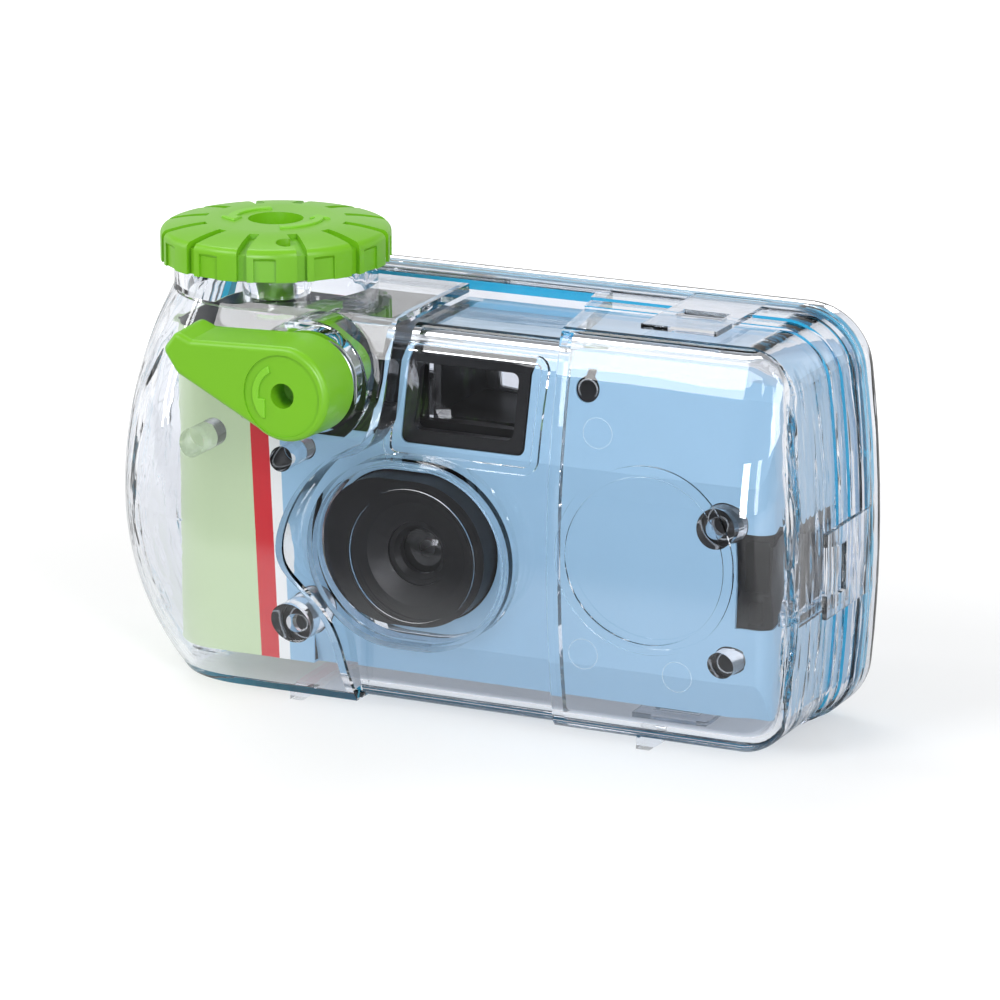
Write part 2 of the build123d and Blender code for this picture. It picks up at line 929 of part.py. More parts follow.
with BuildPart() as wind_knob:
    with BuildSketch(Plane.XZ):
        with BuildLine():
            recess = knob_top - knob_recess_depth
            rim = knob_top - knob_dome
            way = between(knob_dome_start, knob_radius)
            socket = shaft_radius + fit_gap
            Polyline(
                (knob_radius, rim),
                (knob_radius, knob_bottom),
                (knob_skirt_radius, knob_bottom),
                (knob_skirt_radius, knob_roof),
                (socket, knob_roof),
                (socket, knob_socket_floor),
                (0, knob_socket_floor),
                (0, recess),
                (knob_recess_radius, recess),
                (knob_recess_radius, knob_top),
                (knob_dome_start, knob_top),
            )
            ThreePointArc(
                (knob_dome_start, knob_top),
                (way, knob_top - knob_dome * knob_dome_share),
                (knob_radius, rim),
            )
        make_face()
    revolve(axis=Axis.Z)
    rounds = wind_knob.edges().filter_by(GeomType.CIRCLE)
    outer = rounds.filter_by(lambda e: abs(e.radius - knob_radius) < fit_gap)
    fillet(outer.sort_by(Axis.Z)[-1], knob_edge)
    with PolarLocations(0, knob_lobes, start_angle=knob_phase):
        add(knob_groove.part, mode=Mode.SUBTRACT)
    with PolarLocations(0, knob_lobes, start_angle=knob_phase + flute_shift):
        add(knob_flute.part, mode=Mode.SUBTRACT)
    hole = radians(knob_hole_angle)
    place = (knob_hole_place * cos(hole), knob_hole_place * sin(hole))
    add(pillar(*place, knob_bottom, knob_top + overrun, knob_hole_radius), mode=Mode.SUBTRACT)
wind_knob.part.label = "wind_knob"
wind_knob.part.position = (knob_x, knob_y, 0)
export_step(wind_knob.part, "parts/wind_knob.step")

# Wind shaft with a flat tongue below and a groove for its clip
clip_top = tube_bottom - nest_gap
clip_bottom = clip_top - clip_height
with BuildPart() as wind_shaft:
    top = knob_socket_floor - fit_gap
    add(pillar(knob_x, knob_y, shaft_bottom, top, shaft_radius))
    groove = ring(
        knob_x, knob_y, clip_bottom, clip_top, shaft_radius + overrun, shaft_radius - clip_groove
    )
    add(groove, mode=Mode.SUBTRACT)
    for side in (-1, 1):
        middle = knob_y + side * (shaft_flat / 2 + shaft_radius)
        with Locations((knob_x, middle, shaft_bottom + shaft_flat_length / 2)):
            Box(
                2 * shaft_radius + overrun,
                2 * shaft_radius,
                shaft_flat_length,
                mode=Mode.SUBTRACT,
            )
wind_shaft.part.label = "wind_shaft"
export_step(wind_shaft.part, "parts/wind_shaft.step")

# Clip of the wind shaft, open at one side
clip_inner = shaft_radius - clip_groove + fit_gap
with BuildPart() as wind_shaft_clip:
    outer = shaft_radius + clip_width
    low = clip_bottom + fit_gap / 2
    add(ring(knob_x, knob_y, low, clip_top - fit_gap / 2, outer, clip_inner))
    gap = block(
        (knob_x, knob_x + case_width),
        (knob_y - clip_opening / 2, knob_y + clip_opening / 2),
        (clip_bottom - overrun, clip_top + overrun),
    )
    add(gap, mode=Mode.SUBTRACT)
wind_shaft_clip.part.label = "wind_shaft_clip"
export_step(wind_shaft_clip.part, "parts/wind_shaft_clip.step")

# O-ring of the wind shaft in its gland
with BuildPart() as wind_shaft_o_ring:
    middle = bore_radius + ring_section
    with BuildSketch(front_plane(knob_y)):
        with Locations((knob_x + middle, tube_bottom + gland_depth / 2)):
            RegularPolygon(ring_section - fit_gap / 5, ring_sides)
    revolve(axis=Axis((knob_x, knob_y, 0), (0, 0, 1)))
wind_shaft_o_ring.part.label = "wind_shaft_o_ring"
export_step(wind_shaft_o_ring.part, "parts/wind_shaft_o_ring.step")

# Shutter lever: a hub with an arm whose tip turns up
with BuildPart() as shutter_lever:
    with BuildSketch(front_plane(lever_back)) as face:
        with BuildLine():
            hub_top = (lever_x, lever_z + lever_hub)
            hub_low = (lever_low_x, lever_low_z)
            Polyline(
                hub_top,
                (lever_crook_x, lever_crook_z),
                (lever_nose_x, lever_tip_top),
                (lever_tip_x, lever_tip_z),
                (lever_heel_x, lever_tip_bottom),
                hub_low,
            )
            ThreePointArc(hub_low, (lever_x + lever_hub, lever_z), hub_top)
        make_face()
        corners = face.vertices().filter_by(lambda v: v.X < lever_crook_x - overrun)
        fillet(corners, lever_tip_round)
    extrude(amount=lever_back - lever_front, taper=lever_draft)
    tip = shutter_lever.faces().sort_by(Axis.Y)[0]
    fillet(tip.edges(), lever_round)
    add(
        rod(lever_x, lever_z, lever_front, lever_front + lever_dish_depth, lever_dish_radius),
        mode=Mode.SUBTRACT,
    )
    depth = lever_front + lever_hole_depth
    add(rod(lever_x, lever_z, lever_front, depth, lever_hole_radius), mode=Mode.SUBTRACT)
    socket = lever_back - lever_socket
    bore = lever_shaft_radius + fit_gap
    add(rod(lever_x, lever_z, socket, lever_back, bore), mode=Mode.SUBTRACT)
shutter_lever.part.label = "shutter_lever"
export_step(shutter_lever.part, "parts/shutter_lever.step")

# Lever shaft with a groove for its clip
lever_clip_front = lever_tube_back + nest_gap
lever_clip_back = lever_clip_front + clip_height
with BuildPart() as lever_shaft:
    front = lever_back - lever_socket + fit_gap
    add(rod(lever_x, lever_z, front, lever_shaft_end, lever_shaft_radius))
    core = lever_shaft_radius - clip_groove
    outer = lever_shaft_radius + overrun
    groove = cross_ring(lever_x, lever_z, lever_clip_front, lever_clip_back, outer, core)
    add(groove, mode=Mode.SUBTRACT)
lever_shaft.part.label = "lever_shaft"
export_step(lever_shaft.part, "parts/lever_shaft.step")

# Clip of the lever shaft
with BuildPart() as lever_shaft_clip:
    outer = lever_shaft_radius + clip_width
    inner = lever_shaft_radius - clip_groove + fit_gap
    low = lever_clip_front + fit_gap / 2
    add(cross_ring(lever_x, lever_z, low, lever_clip_back - fit_gap / 2, outer, inner))
    gap = block(
        (lever_x - clip_opening / 2, lever_x + clip_opening / 2),
        (lever_clip_front - overrun, lever_clip_back + overrun),
        (0, lever_z),
    )
    add(gap, mode=Mode.SUBTRACT)
lever_shaft_clip.part.label = "lever_shaft_clip"
export_step(lever_shaft_clip.part, "parts/lever_shaft_clip.step")

# O-ring of the lever shaft
with BuildPart() as lever_o_ring:
    middle = lever_bore + ring_section
    with BuildSketch(Plane.XY.offset(lever_z)):
        with Locations((lever_x + middle, lever_tube_back - gland_depth / 2)):
            RegularPolygon(ring_section - fit_gap / 5, ring_sides)
    revolve(axis=Axis((lever_x, 0, lever_z), (0, 1, 0)))
lever_o_ring.part.label = "lever_o_ring"
export_step(lever_o_ring.part, "parts/lever_o_ring.step")

# Press arm: a hub, a web and a bar over the shutter button
with BuildPart() as lever_press_arm:
    arm_back = arm_front + arm_thick
    arm_bar_right = arm_bar_left + arm_bar_width
    add(rod(lever_x, lever_z, arm_front, arm_back, arm_hub))
    with BuildSketch(front_plane(arm_back)):
        with BuildLine():
            Polyline(
                (arm_bar_left, arm_bar_top),
                (arm_bar_right, arm_bar_top),
                (lever_x + arm_hub * arm_web_share, lever_z + arm_hub * arm_web_share),
                (lever_x - arm_hub * arm_web_share, lever_z - arm_hub * arm_web_share),
                (arm_bar_left + fit_gap, arm_bar_bottom - arm_bar_drop),
                close=True,
            )
        make_face()
    extrude(amount=arm_thick)
    bar = block(
        (arm_bar_left, arm_bar_right), (arm_front, arm_bar_back), (arm_bar_bottom, arm_bar_top)
    )
    add(bar)
    bore = lever_shaft_radius + fit_gap
    add(rod(lever_x, lever_z, arm_front, arm_back, bore), mode=Mode.SUBTRACT)
lever_press_arm.part.label = "lever_press_arm"
export_step(lever_press_arm.part, "parts/lever_press_arm.step")

# Helpers of the inner camera


def cam_solid(grow):
    """Outer shape of the inner camera, grown or drawn in by a wall"""
    left = cam_left - grow
    right = cam_right + grow
    front = cam_front - grow
    back = cam_back + grow
    low = cam_bottom - grow
    high = cam_top + grow
    with BuildSketch(Plane.YZ.offset(slope_left)) as side:
        with BuildLine():
            Polyline(
                (cam_front + bevel_low_back, cam_bottom),
                (cam_front, cam_bottom + bevel_low_high),
                (cam_front, slope_start),
                (cam_front + slope_back, cam_top - bevel_high),
                (cam_front + slope_back + bevel_back, cam_top),
                (cam_back, cam_top),
                (cam_back, cam_bottom),
                close=True,
            )
        make_face()
        if grow:
            offset(amount=grow, kind=Kind.INTERSECTION, mode=Mode.REPLACE)
    with BuildPart() as shape:
        with BuildSketch(Plane.XY.offset(low)) as plan:
            with Locations((between(left, right), between(front, back))):
                Rectangle(right - left, back - front)
            ends = plan.vertices().sort_by(Axis.X)
            fillet(ends[:2], cam_left_round + grow)
            fillet(plan.vertices().sort_by(Axis.X)[-2:], cam_right_round + grow)
        extrude(amount=high - low)
        full = block(
            (left - overrun, slope_left), (front - overrun, back + overrun), (low, high)
        )
        sloped = solid(side.sketch, case_width)
        add(full + sloped, mode=Mode.INTERSECT)
    return shape.part


def half_space(y_range):
    """Slab that keeps what lies between two depths"""
    return block((-case_width, case_width), y_range, (-case_height, 2 * case_height))


def shroud_shape(y, grow):
    """Outline of the lens shroud, round at the right of the lens"""
    radius = shroud_radius + grow
    left = shroud_left - grow
    with BuildSketch(front_plane(y)) as shape:
        with Locations((lens_x, lens_z)):
            Circle(radius)
        with Locations((between(left, lens_x), lens_z)):
            Rectangle(lens_x - left, 2 * radius)
        ends = shape.vertices().filter_by(lambda v: v.X < left + overrun)
        fillet(ends.sort_by(Axis.Y)[-1], shroud_corner_top + grow)
        ends = shape.vertices().filter_by(lambda v: v.X < left + shroud_corner_top)
        fillet(ends.sort_by(Axis.Y)[0], shroud_corner_bottom + grow)
    return shape.sketch


def toothed(x, y, z, radius, tooth, count):
    """Gear outline with straight teeth that look up from a height"""
    points = []
    for step in range(count):
        for turn, reach in tooth_shares:
            angle = 2 * pi * (step + turn) / count
            points.append(
                (x + (radius + reach * tooth) * cos(angle), y + (radius + reach * tooth) * sin(angle))
            )
    with BuildSketch(Plane.XY.offset(z)) as shape:
        with BuildLine():
            Polyline(*points, close=True)
        make_face()
    return shape.sketch


def arc_joint(start, start_way, end, end_way):
    """Point where two equal-armed arcs between two tangent directions meet"""
    gap = end - start
    ways = start_way + end_way
    bend = 2 * (1 - start_way.dot(end_way))
    arm = (sqrt(gap.dot(ways) ** 2 + bend * gap.dot(gap)) - gap.dot(ways)) / bend
    return (start + end + (start_way - end_way) * arm) * 0.5


def coil(radius, pitch, turns, wire, leg):
    """Spring round the Z axis from quarter turns of two arcs each, with straight legs"""
    steps = 4 * turns
    slope = pitch / (2 * pi * radius)

    def place(step):
        angle = pi / 2 * step
        return Vector(radius * cos(angle), radius * sin(angle), pitch * step / 4)

    def way(step):
        angle = pi / 2 * step
        return Vector(-sin(angle), cos(angle), slope).normalized()

    with BuildPart() as shape:
        with BuildLine() as path:
            Line(place(0) - way(0) * leg, place(0))
            for step in range(steps):
                start = place(step)
                end = place(step + 1)
                joint = arc_joint(start, way(step), end, way(step + 1))
                TangentArc(start, joint, tangent=way(step))
                TangentArc(end, joint, tangent=way(step + 1) * -1)
            Line(place(steps), place(steps) + way(steps) * leg)
        with BuildSketch(Plane(origin=place(0) - way(0) * leg, z_dir=way(0))):
            RegularPolygon(wire / 2, wire_sides)
        sweep(path=path.wires()[0])
    points = []
    for step in range(coil_samples * turns):
        angle = 2 * pi * step / coil_samples
        points.append((angle, Vector(radius * cos(angle), radius * sin(angle), slope * radius * angle)))
    gaps = []
    for near, a in points:
        for far, b in points:
            if far - near > pi:
                gaps.append((a - b).length - wire)
    print("coil volume", round(shape.part.volume, 2), "least gap", round(min(gaps), 2))
    return shape.part


# Front cover of the inner camera
pocket_x = (pocket_left, pocket_right)
pocket_z = (pocket_bottom, case_height)
finder_x_range = (finder_left, finder_right)
finder_z_range = (finder_bottom, cam_top + hood_rise)
window_x = (finder_left + finder_border, finder_right - finder_border)
window_z = (finder_bottom + finder_border, cam_top - finder_border)
lens_edge = lens_front + lens_rise
lens_back = lens_front + lens_thick
counter_window = (counter_x, counter_y + counter_radius * counter_window_share)
button_bore = button_radius + fit_gap
with BuildPart() as camera_front_cover:
    add(cam_solid(0))
    add(block((plate_left, plate_right), (plate_front, plate_back), (plate_bottom, plate_top)))
    add(solid(shroud_shape(cam_front, 0), cam_front - shroud_front))
    hood = solid(
        front_rectangle(cam_front + slope_back + cam_wall, finder_x_range, finder_z_range, finder_corner),
        case_width,
    )
    add(hood & cam_solid(hood_rise))
    add(cam_solid(-cam_wall), mode=Mode.SUBTRACT)
    add(half_space((cam_split, case_width)), mode=Mode.SUBTRACT)
    add(
        solid(
            shroud_shape(cam_front + cam_wall, -shroud_wall),
            cam_front + cam_wall - shroud_front - shroud_wall,
        ),
        mode=Mode.SUBTRACT,
    )
    add(rod(lens_x, lens_z, shroud_front, lens_tube_back, lens_tube_radius))
    with BuildSketch(Plane.XY.offset(lens_z)):
        with BuildLine():
            well_floor = shroud_front + well_depth
            Polyline(
                (lens_x, shroud_front - overrun),
                (lens_x + well_radius, shroud_front - overrun),
                (lens_x + well_radius, shroud_front),
                (lens_x + well_floor_radius, well_floor),
                (lens_x + well_floor_radius, lens_edge),
                (lens_x + lens_seat_radius, lens_edge),
                (lens_x + lens_seat_radius, lens_back + aperture_plate_thick),
                (lens_x + ledge_radius, lens_back + aperture_plate_thick),
                (lens_x + ledge_radius, lens_tube_back + overrun),
                (lens_x, lens_tube_back + overrun),
                close=True,
            )
        make_face()
    revolve(axis=Axis((lens_x, 0, lens_z), (0, 1, 0)), mode=Mode.SUBTRACT)
    window = front_rectangle(cam_split, window_x, window_z, finder_corner)
    extrude(window, amount=case_width, mode=Mode.SUBTRACT)
    back = pocket_floor + cam_wall
    wide = (pocket_left - cam_wall, pocket_right + cam_wall)
    add(block(wide, (cam_front, back), (pocket_bottom - cam_wall, cam_top)) & cam_solid(0))
    add(block(pocket_x, (-case_width, pocket_floor), pocket_z), mode=Mode.SUBTRACT)
    add(pillar(knob_x, knob_y, wheel_top, tube_bottom, shaft_hole_radius), mode=Mode.SUBTRACT)
    add(pillar(button_x, button_y, wheel_top, tube_bottom, button_bore), mode=Mode.SUBTRACT)
    for x, z, radius, bore in peg_places[1:]:
        depth = cam_front + peg_socket_depth
        add(rod(x, z, plate_front, depth, radius + peg_hole_gap), mode=Mode.SUBTRACT)
    for x, z, stop, end, reach in (
        (blade_x, blade_z, blade_y - fit_gap, post_back, post_radius),
        (striker_x, striker_z, striker_y - fit_gap, striker_post_back, post_radius),
    ):
        add(rod(x, z, cam_front + cam_wall / 2, stop, post_boss))
        add(rod(x, z, stop - overrun, end, reach))
camera_front_cover.part.label = "camera_front_cover"
export_step(camera_front_cover.part, "parts/camera_front_cover.step")

# Rear cover of the inner camera
eyepiece_x = between(finder_box_left, finder_box_right)
eyepiece_z = between(frame_deck, finder_box_top - frame_wall)
eye_x = (eyepiece_x - eyepiece_width / 2, eyepiece_x + eyepiece_width / 2)
eye_z = (eyepiece_z - eyepiece_height / 2, eyepiece_z + eyepiece_height / 2)
eye_hole_x = (eye_x[0] - fit_gap, eye_x[1] + fit_gap)
eye_hole_z = (eye_z[0] - fit_gap, eye_z[1] + fit_gap)
with BuildPart() as camera_rear_cover:
    add(cam_solid(0))
    add(cam_solid(-cam_wall), mode=Mode.SUBTRACT)
    add(half_space((-case_width, cam_split + fit_gap)), mode=Mode.SUBTRACT)
    add(pillar(knob_x, knob_y, wheel_top, tube_bottom, shaft_hole_radius), mode=Mode.SUBTRACT)
    add(pillar(*counter_window, wheel_top, tube_bottom, counter_window_radius), mode=Mode.SUBTRACT)
    add(block(eye_hole_x, (frame_back, case_back), eye_hole_z), mode=Mode.SUBTRACT)
    floor = cam_bottom + cam_wall / 2
    add(pillar(supply_x, supply_y, floor, supply_pin_top, supply_pin_radius))
camera_rear_cover.part.label = "camera_rear_cover"
export_step(camera_rear_cover.part, "parts/camera_rear_cover.step")

# Frame of the inner camera: walls, deck, light tunnel, film gate and finder box
frame_x = (frame_left, frame_right)
throat = gate_throat / 2
with BuildPart() as tunnel_outer:
    with BuildSketch(front_plane(frame_back)):
        with Locations((lens_x, lens_z)):
            Rectangle(gate_width + 2 * frame_wall, gate_height + 2 * frame_wall)
    with BuildSketch(front_plane(frame_front)):
        with Locations((lens_x, lens_z)):
            Rectangle(2 * (throat + frame_wall), 2 * (throat + frame_wall))
    loft()
with BuildPart() as tunnel_inner:
    with BuildSketch(front_plane(frame_back + fit_gap)):
        with Locations((lens_x, lens_z)):
            Rectangle(gate_width, gate_height)
    with BuildSketch(front_plane(frame_front - fit_gap)):
        with Locations((lens_x, lens_z)):
            Rectangle(2 * throat, 2 * throat)
    loft()
box_x = (finder_box_left, finder_box_right)
box_inner_x = (finder_box_left + frame_wall, finder_box_right - frame_wall)
box_inner_z = (frame_deck, finder_box_top - frame_wall)
with BuildPart() as camera_frame:
    low = frame_bottom + frame_wall
    high = frame_deck - frame_wall
    inner_x = (frame_left + frame_wall, frame_right - frame_wall)
    add(block(frame_x, (frame_front, frame_back), (frame_bottom, frame_deck)))
    inner_y = (frame_front + frame_wall, frame_back - frame_wall)
    add(block(inner_x, inner_y, (low, high)), mode=Mode.SUBTRACT)
    add(tunnel_outer.part)
    add(tunnel_inner.part, mode=Mode.SUBTRACT)
    add(block(box_x, (finder_box_front, frame_back), (frame_deck, finder_box_top)))
    inner_y = (finder_box_front - overrun, frame_back + overrun)
    add(block(box_inner_x, inner_y, box_inner_z), mode=Mode.SUBTRACT)
    swept = sprocket_radius + sprocket_tooth + nest_gap + fit_gap
    room = sprocket_thick / 2 + nest_gap
    low = sprocket_z - room
    add(pillar(sprocket_x, sprocket_y, low, sprocket_z + room, swept), mode=Mode.SUBTRACT)
    bearing = ring(
        sprocket_x, sprocket_y, sprocket_z + room, frame_deck, sprocket_hub, sprocket_shaft
    )
    add(bearing)
    bore = sprocket_shaft + fit_gap
    add(pillar(sprocket_x, sprocket_y, low, sprocket_shaft_top, bore), mode=Mode.SUBTRACT)
    shoulder = counter_z - fit_gap
    add(pillar(counter_x, counter_y, high, shoulder, counter_shoulder))
    add(pillar(counter_x, counter_y, high, counter_z + counter_thick, counter_shaft))
    add(pillar(pawl_x, pawl_y, high, pawl_z, pawl_boss))
camera_frame.part.label = "camera_frame"
export_step(camera_frame.part, "parts/camera_frame.step")

# Printed card round the inner camera
with BuildPart() as camera_label:
    add(cam_solid(fit_gap + label_thick))
    add(cam_solid(fit_gap), mode=Mode.SUBTRACT)
    far = case_width
    wide = (-far, far)
    add(block((-far, label_top_left), wide, (cam_top - fit_gap, far)), mode=Mode.SUBTRACT)
    cut_x = (label_cut_left, label_cut_right)
    add(block(cut_x, (-far, cam_split), (label_cut_bottom, far)), mode=Mode.SUBTRACT)
    cut_y = (-far, label_side_cut_back)
    cut_z = (label_side_cut_bottom, label_side_cut_top)
    add(block((label_side_cut_left, far), cut_y, cut_z), mode=Mode.SUBTRACT)
    shroud = shroud_shape(cam_front, label_cut_gap)
    add(solid(shroud, case_width), mode=Mode.SUBTRACT)
    hood_x = (finder_left - label_cut_gap, finder_right + label_cut_gap)
    hood_z = (finder_bottom - label_cut_gap, case_height)
    hood_back = cam_front + slope_back + bevel_back + cam_wall
    hood = front_rectangle(hood_back, hood_x, hood_z, finder_corner)
    add(solid(hood, case_width), mode=Mode.SUBTRACT)
    for x, z, radius, bore in peg_places[1:]:
        add(rod(x, z, -far, cam_split, radius + peg_hole_gap), mode=Mode.SUBTRACT)
    slot = (slot_x - slot_width / 2, slot_x + slot_width / 2)
    add(block(slot, (-far, cam_split), (peg_places[3][1], slot_top)), mode=Mode.SUBTRACT)
    add(block(eye_hole_x, (frame_back, far), eye_hole_z), mode=Mode.SUBTRACT)
camera_label.part.label = "camera_label"
export_step(camera_label.part, "parts/camera_label.step")

# Taking lens, turned about its own axis
lens_axis = Axis((lens_x, 0, lens_z), (0, 1, 0))
lens_radius = lens_seat_radius - fit_gap
with BuildPart() as taking_lens:
    with BuildSketch(Plane.XY.offset(lens_z)):
        with BuildLine():
            way = lens_clear_radius * lens_dome_share
            ThreePointArc(
                (lens_x, lens_front),
                (lens_x + way, lens_front + lens_rise * lens_dome_share**2),
                (lens_x + lens_clear_radius, lens_edge),
            )
            Polyline(
                (lens_x + lens_clear_radius, lens_edge),
                (lens_x + lens_radius, lens_edge),
                (lens_x + lens_radius, lens_back),
                (lens_x, lens_back),
                (lens_x, lens_front),
            )
        make_face()
    revolve(axis=lens_axis)
taking_lens.part.label = "taking_lens"
export_step(taking_lens.part, "parts/taking_lens.step")

# Ring that keeps the lens in its seat
with BuildPart() as lens_retainer:
    add(
        cross_ring(
            lens_x,
            lens_z,
            retainer_front,
            lens_edge - fit_gap / 2,
            well_floor_radius - fit_gap,
            retainer_inner,
        )
    )
    mouth = lens_retainer.faces().sort_by(Axis.Y)[0].inner_wires()[0]
    chamfer(mouth.edges(), retainer_chamfer)
lens_retainer.part.label = "lens_retainer"
export_step(lens_retainer.part, "parts/lens_retainer.step")

# Plate with the fixed aperture behind the lens
with BuildPart() as aperture_plate:
    low = lens_back + fit_gap / 2
    high = lens_back + aperture_plate_thick - fit_gap / 2
    add(cross_ring(lens_x, lens_z, low, high, lens_radius, aperture_radius))
aperture_plate.part.label = "aperture_plate"
export_step(aperture_plate.part, "parts/aperture_plate.step")

# Shutter blade: a hub, an arm over the aperture and a short tail
post_bore = post_radius + fit_gap
with BuildPart() as shutter_blade:
    with BuildSketch(front_plane(blade_y + blade_thick)):
        with Locations((blade_x, blade_z)):
            Circle(blade_hub)
        with Locations((lens_x, lens_z)):
            Circle(blade_tip)
        with BuildLine():
            reach = Vector(lens_x - blade_x, lens_z - blade_z)
            side = reach.normalized().rotate(Axis.Z, 90)
            hub = Vector(blade_x, blade_z)
            tip = Vector(lens_x, lens_z)
            Polyline(
                hub + side * blade_hub,
                tip + side * blade_tip,
                tip - side * blade_tip,
                hub - side * blade_hub,
                hub - reach * blade_tail_share,
                close=True,
            )
        make_face()
        with Locations((blade_x, blade_z)):
            Circle(post_bore, mode=Mode.SUBTRACT)
    extrude(amount=blade_thick)
shutter_blade.part.label = "shutter_blade"
export_step(shutter_blade.part, "parts/shutter_blade.step")

# Striker that kicks the blade
with BuildPart() as blade_striker:
    with BuildSketch(front_plane(striker_y + blade_thick)):
        with Locations((striker_x, striker_z)):
            Circle(striker_hub)
        with BuildLine():
            Polyline(
                (striker_x, striker_z + striker_hub),
                (striker_x - striker_reach, striker_z + striker_hub),
                (striker_x, striker_z - striker_hub),
                close=True,
            )
        make_face()
        with Locations((striker_x, striker_z)):
            Circle(post_bore, mode=Mode.SUBTRACT)
    extrude(amount=blade_thick)
blade_striker.part.label = "blade_striker"
export_step(blade_striker.part, "parts/blade_striker.step")

# Springs
lever_coil = coil(lever_coil_radius, lever_coil_pitch, lever_coil_turns, lever_coil_wire, lever_coil_leg)
with BuildPart() as lever_return_spring:
    start = boss_cup + lever_coil_wire / 2 + nest_gap
    add(Pos(lever_x, start, lever_z) * Rot(-90, 0, 0) * lever_coil)
lever_return_spring.part.label = "lever_return_spring"
export_step(lever_return_spring.part, "parts/lever_return_spring.step")
small_coil = coil(small_coil_radius, small_coil_pitch, small_coil_turns, small_coil_wire, small_coil_leg)
with BuildPart() as shutter_spring:
    add(Pos(blade_x, shutter_spring_start, blade_z) * Rot(-90, 0, 0) * small_coil)
shutter_spring.part.label = "shutter_spring"
export_step(shutter_spring.part, "parts/shutter_spring.step")
with BuildPart() as striker_spring:
    add(Pos(striker_x, striker_spring_start, striker_z) * Rot(-90, 0, 0) * small_coil)
striker_spring.part.label = "striker_spring"
export_step(striker_spring.part, "parts/striker_spring.step")

# Shutter button
with BuildPart() as shutter_button:
    add(pillar(button_x, button_y, button_bottom, button_top, button_radius))
    fillet(shutter_button.faces().sort_by(Axis.Z)[-1].edges(), button_round)
shutter_button.part.label = "shutter_button"
export_step(shutter_button.part, "parts/shutter_button.step")

# Front lens of the finder, hollowed in front
with BuildPart() as finder_front_lens:
    back = finder_lens_front + finder_lens_thick
    lens_x_range = (box_inner_x[0] + fit_gap, box_inner_x[1] - fit_gap)
    lens_z_range = (box_inner_z[0] + fit_gap, box_inner_z[1] - fit_gap)
    add(block(lens_x_range, (finder_lens_front, back), lens_z_range))
    centre = finder_lens_front + finder_lens_dish - finder_dish_radius
    with Locations((between(*box_inner_x), centre, between(*box_inner_z))):
        Sphere(finder_dish_radius, mode=Mode.SUBTRACT)
finder_front_lens.part.label = "finder_front_lens"
export_step(finder_front_lens.part, "parts/finder_front_lens.step")

# Eyepiece of the finder in the rear cover, with a rim inside
with BuildPart() as finder_eyepiece:
    inner_face = cam_back - cam_wall
    add(block(eye_x, (eyepiece_front, cam_back), eye_z))
    rim_x = (eye_x[0] - eyepiece_rim, eye_x[1] + eyepiece_rim)
    rim_z = (eye_z[0] - eyepiece_rim, eye_z[1] + eyepiece_rim)
    add(block(rim_x, (inner_face - eyepiece_rim_thick, inner_face - fit_gap), rim_z))
finder_eyepiece.part.label = "finder_eyepiece"
export_step(finder_eyepiece.part, "parts/finder_eyepiece.step")

# Toothed wheel that the wind shaft turns, with a pin down into the cassette spool
pin_bottom = spool_top - wheel_pin_length
with BuildPart() as advance_wheel:
    extrude(
        toothed(knob_x, knob_y, wheel_bottom, wheel_radius, wheel_tooth, wheel_teeth),
        amount=wheel_top - wheel_bottom,
    )
    slot_x_range = (knob_x - shaft_radius - fit_gap, knob_x + shaft_radius + fit_gap)
    half = shaft_flat / 2 + fit_gap
    add(
        block(slot_x_range, (knob_y - half, knob_y + half), (shaft_bottom - fit_gap, case_height)),
        mode=Mode.SUBTRACT,
    )
    add(pillar(knob_x, knob_y, pin_bottom, wheel_bottom, wheel_pin_radius))
advance_wheel.part.label = "advance_wheel"
export_step(advance_wheel.part, "parts/advance_wheel.step")

# Pawl that reaches from its post to the wheel
with BuildPart() as wheel_pawl:
    away = Vector(pawl_x - knob_x, pawl_y - knob_y)
    length = away.length - wheel_radius - wheel_tooth - nest_gap - fit_gap
    turn = degrees(atan2(away.Y, away.X))
    add(pillar(pawl_x, pawl_y, pawl_z, pawl_z + pawl_width, pawl_boss))
    finger = Pos(pawl_x, pawl_y, pawl_z + pawl_width / 2) * Rot(0, 0, turn)
    add(slab(finger * Pos(-length / 2, 0, 0), length, pawl_thick, pawl_width))
wheel_pawl.part.label = "wheel_pawl"
export_step(wheel_pawl.part, "parts/wheel_pawl.step")

# Film cassette with a lip towards the gate
lip = Vector(lip_x - knob_x, lip_y - knob_y)
lip_turn = degrees(atan2(lip.Y, lip.X))
film_low = lens_z - film_height / 2
with BuildPart() as cassette_shell:
    inner = cassette_radius - cassette_wall
    low = cassette_bottom + cassette_wall
    high = cassette_top - cassette_wall
    add(pillar(knob_x, knob_y, cassette_bottom, cassette_top, cassette_radius))
    mouth = Pos(knob_x, knob_y, lens_z) * Rot(0, 0, lip_turn)
    reach = between(cassette_radius - lip_root, lip.length - fit_gap)
    length = lip.length - fit_gap - cassette_radius + lip_root
    height = film_height + 2 * lip_margin
    add(slab(mouth * Pos(reach, 0, 0), length, lip_thick, height))
    add(pillar(knob_x, knob_y, low, high, inner), mode=Mode.SUBTRACT)
    height = film_height + lip_margin
    slit = slab(mouth * Pos(reach, 0, 0), 2 * length, lip_slit, height)
    add(slit, mode=Mode.SUBTRACT)
    hole = spool_hub_radius + hub_gap
    add(pillar(knob_x, knob_y, cassette_bottom, cassette_top, hole), mode=Mode.SUBTRACT)
cassette_shell.part.label = "cassette_shell"
export_step(cassette_shell.part, "parts/cassette_shell.step")

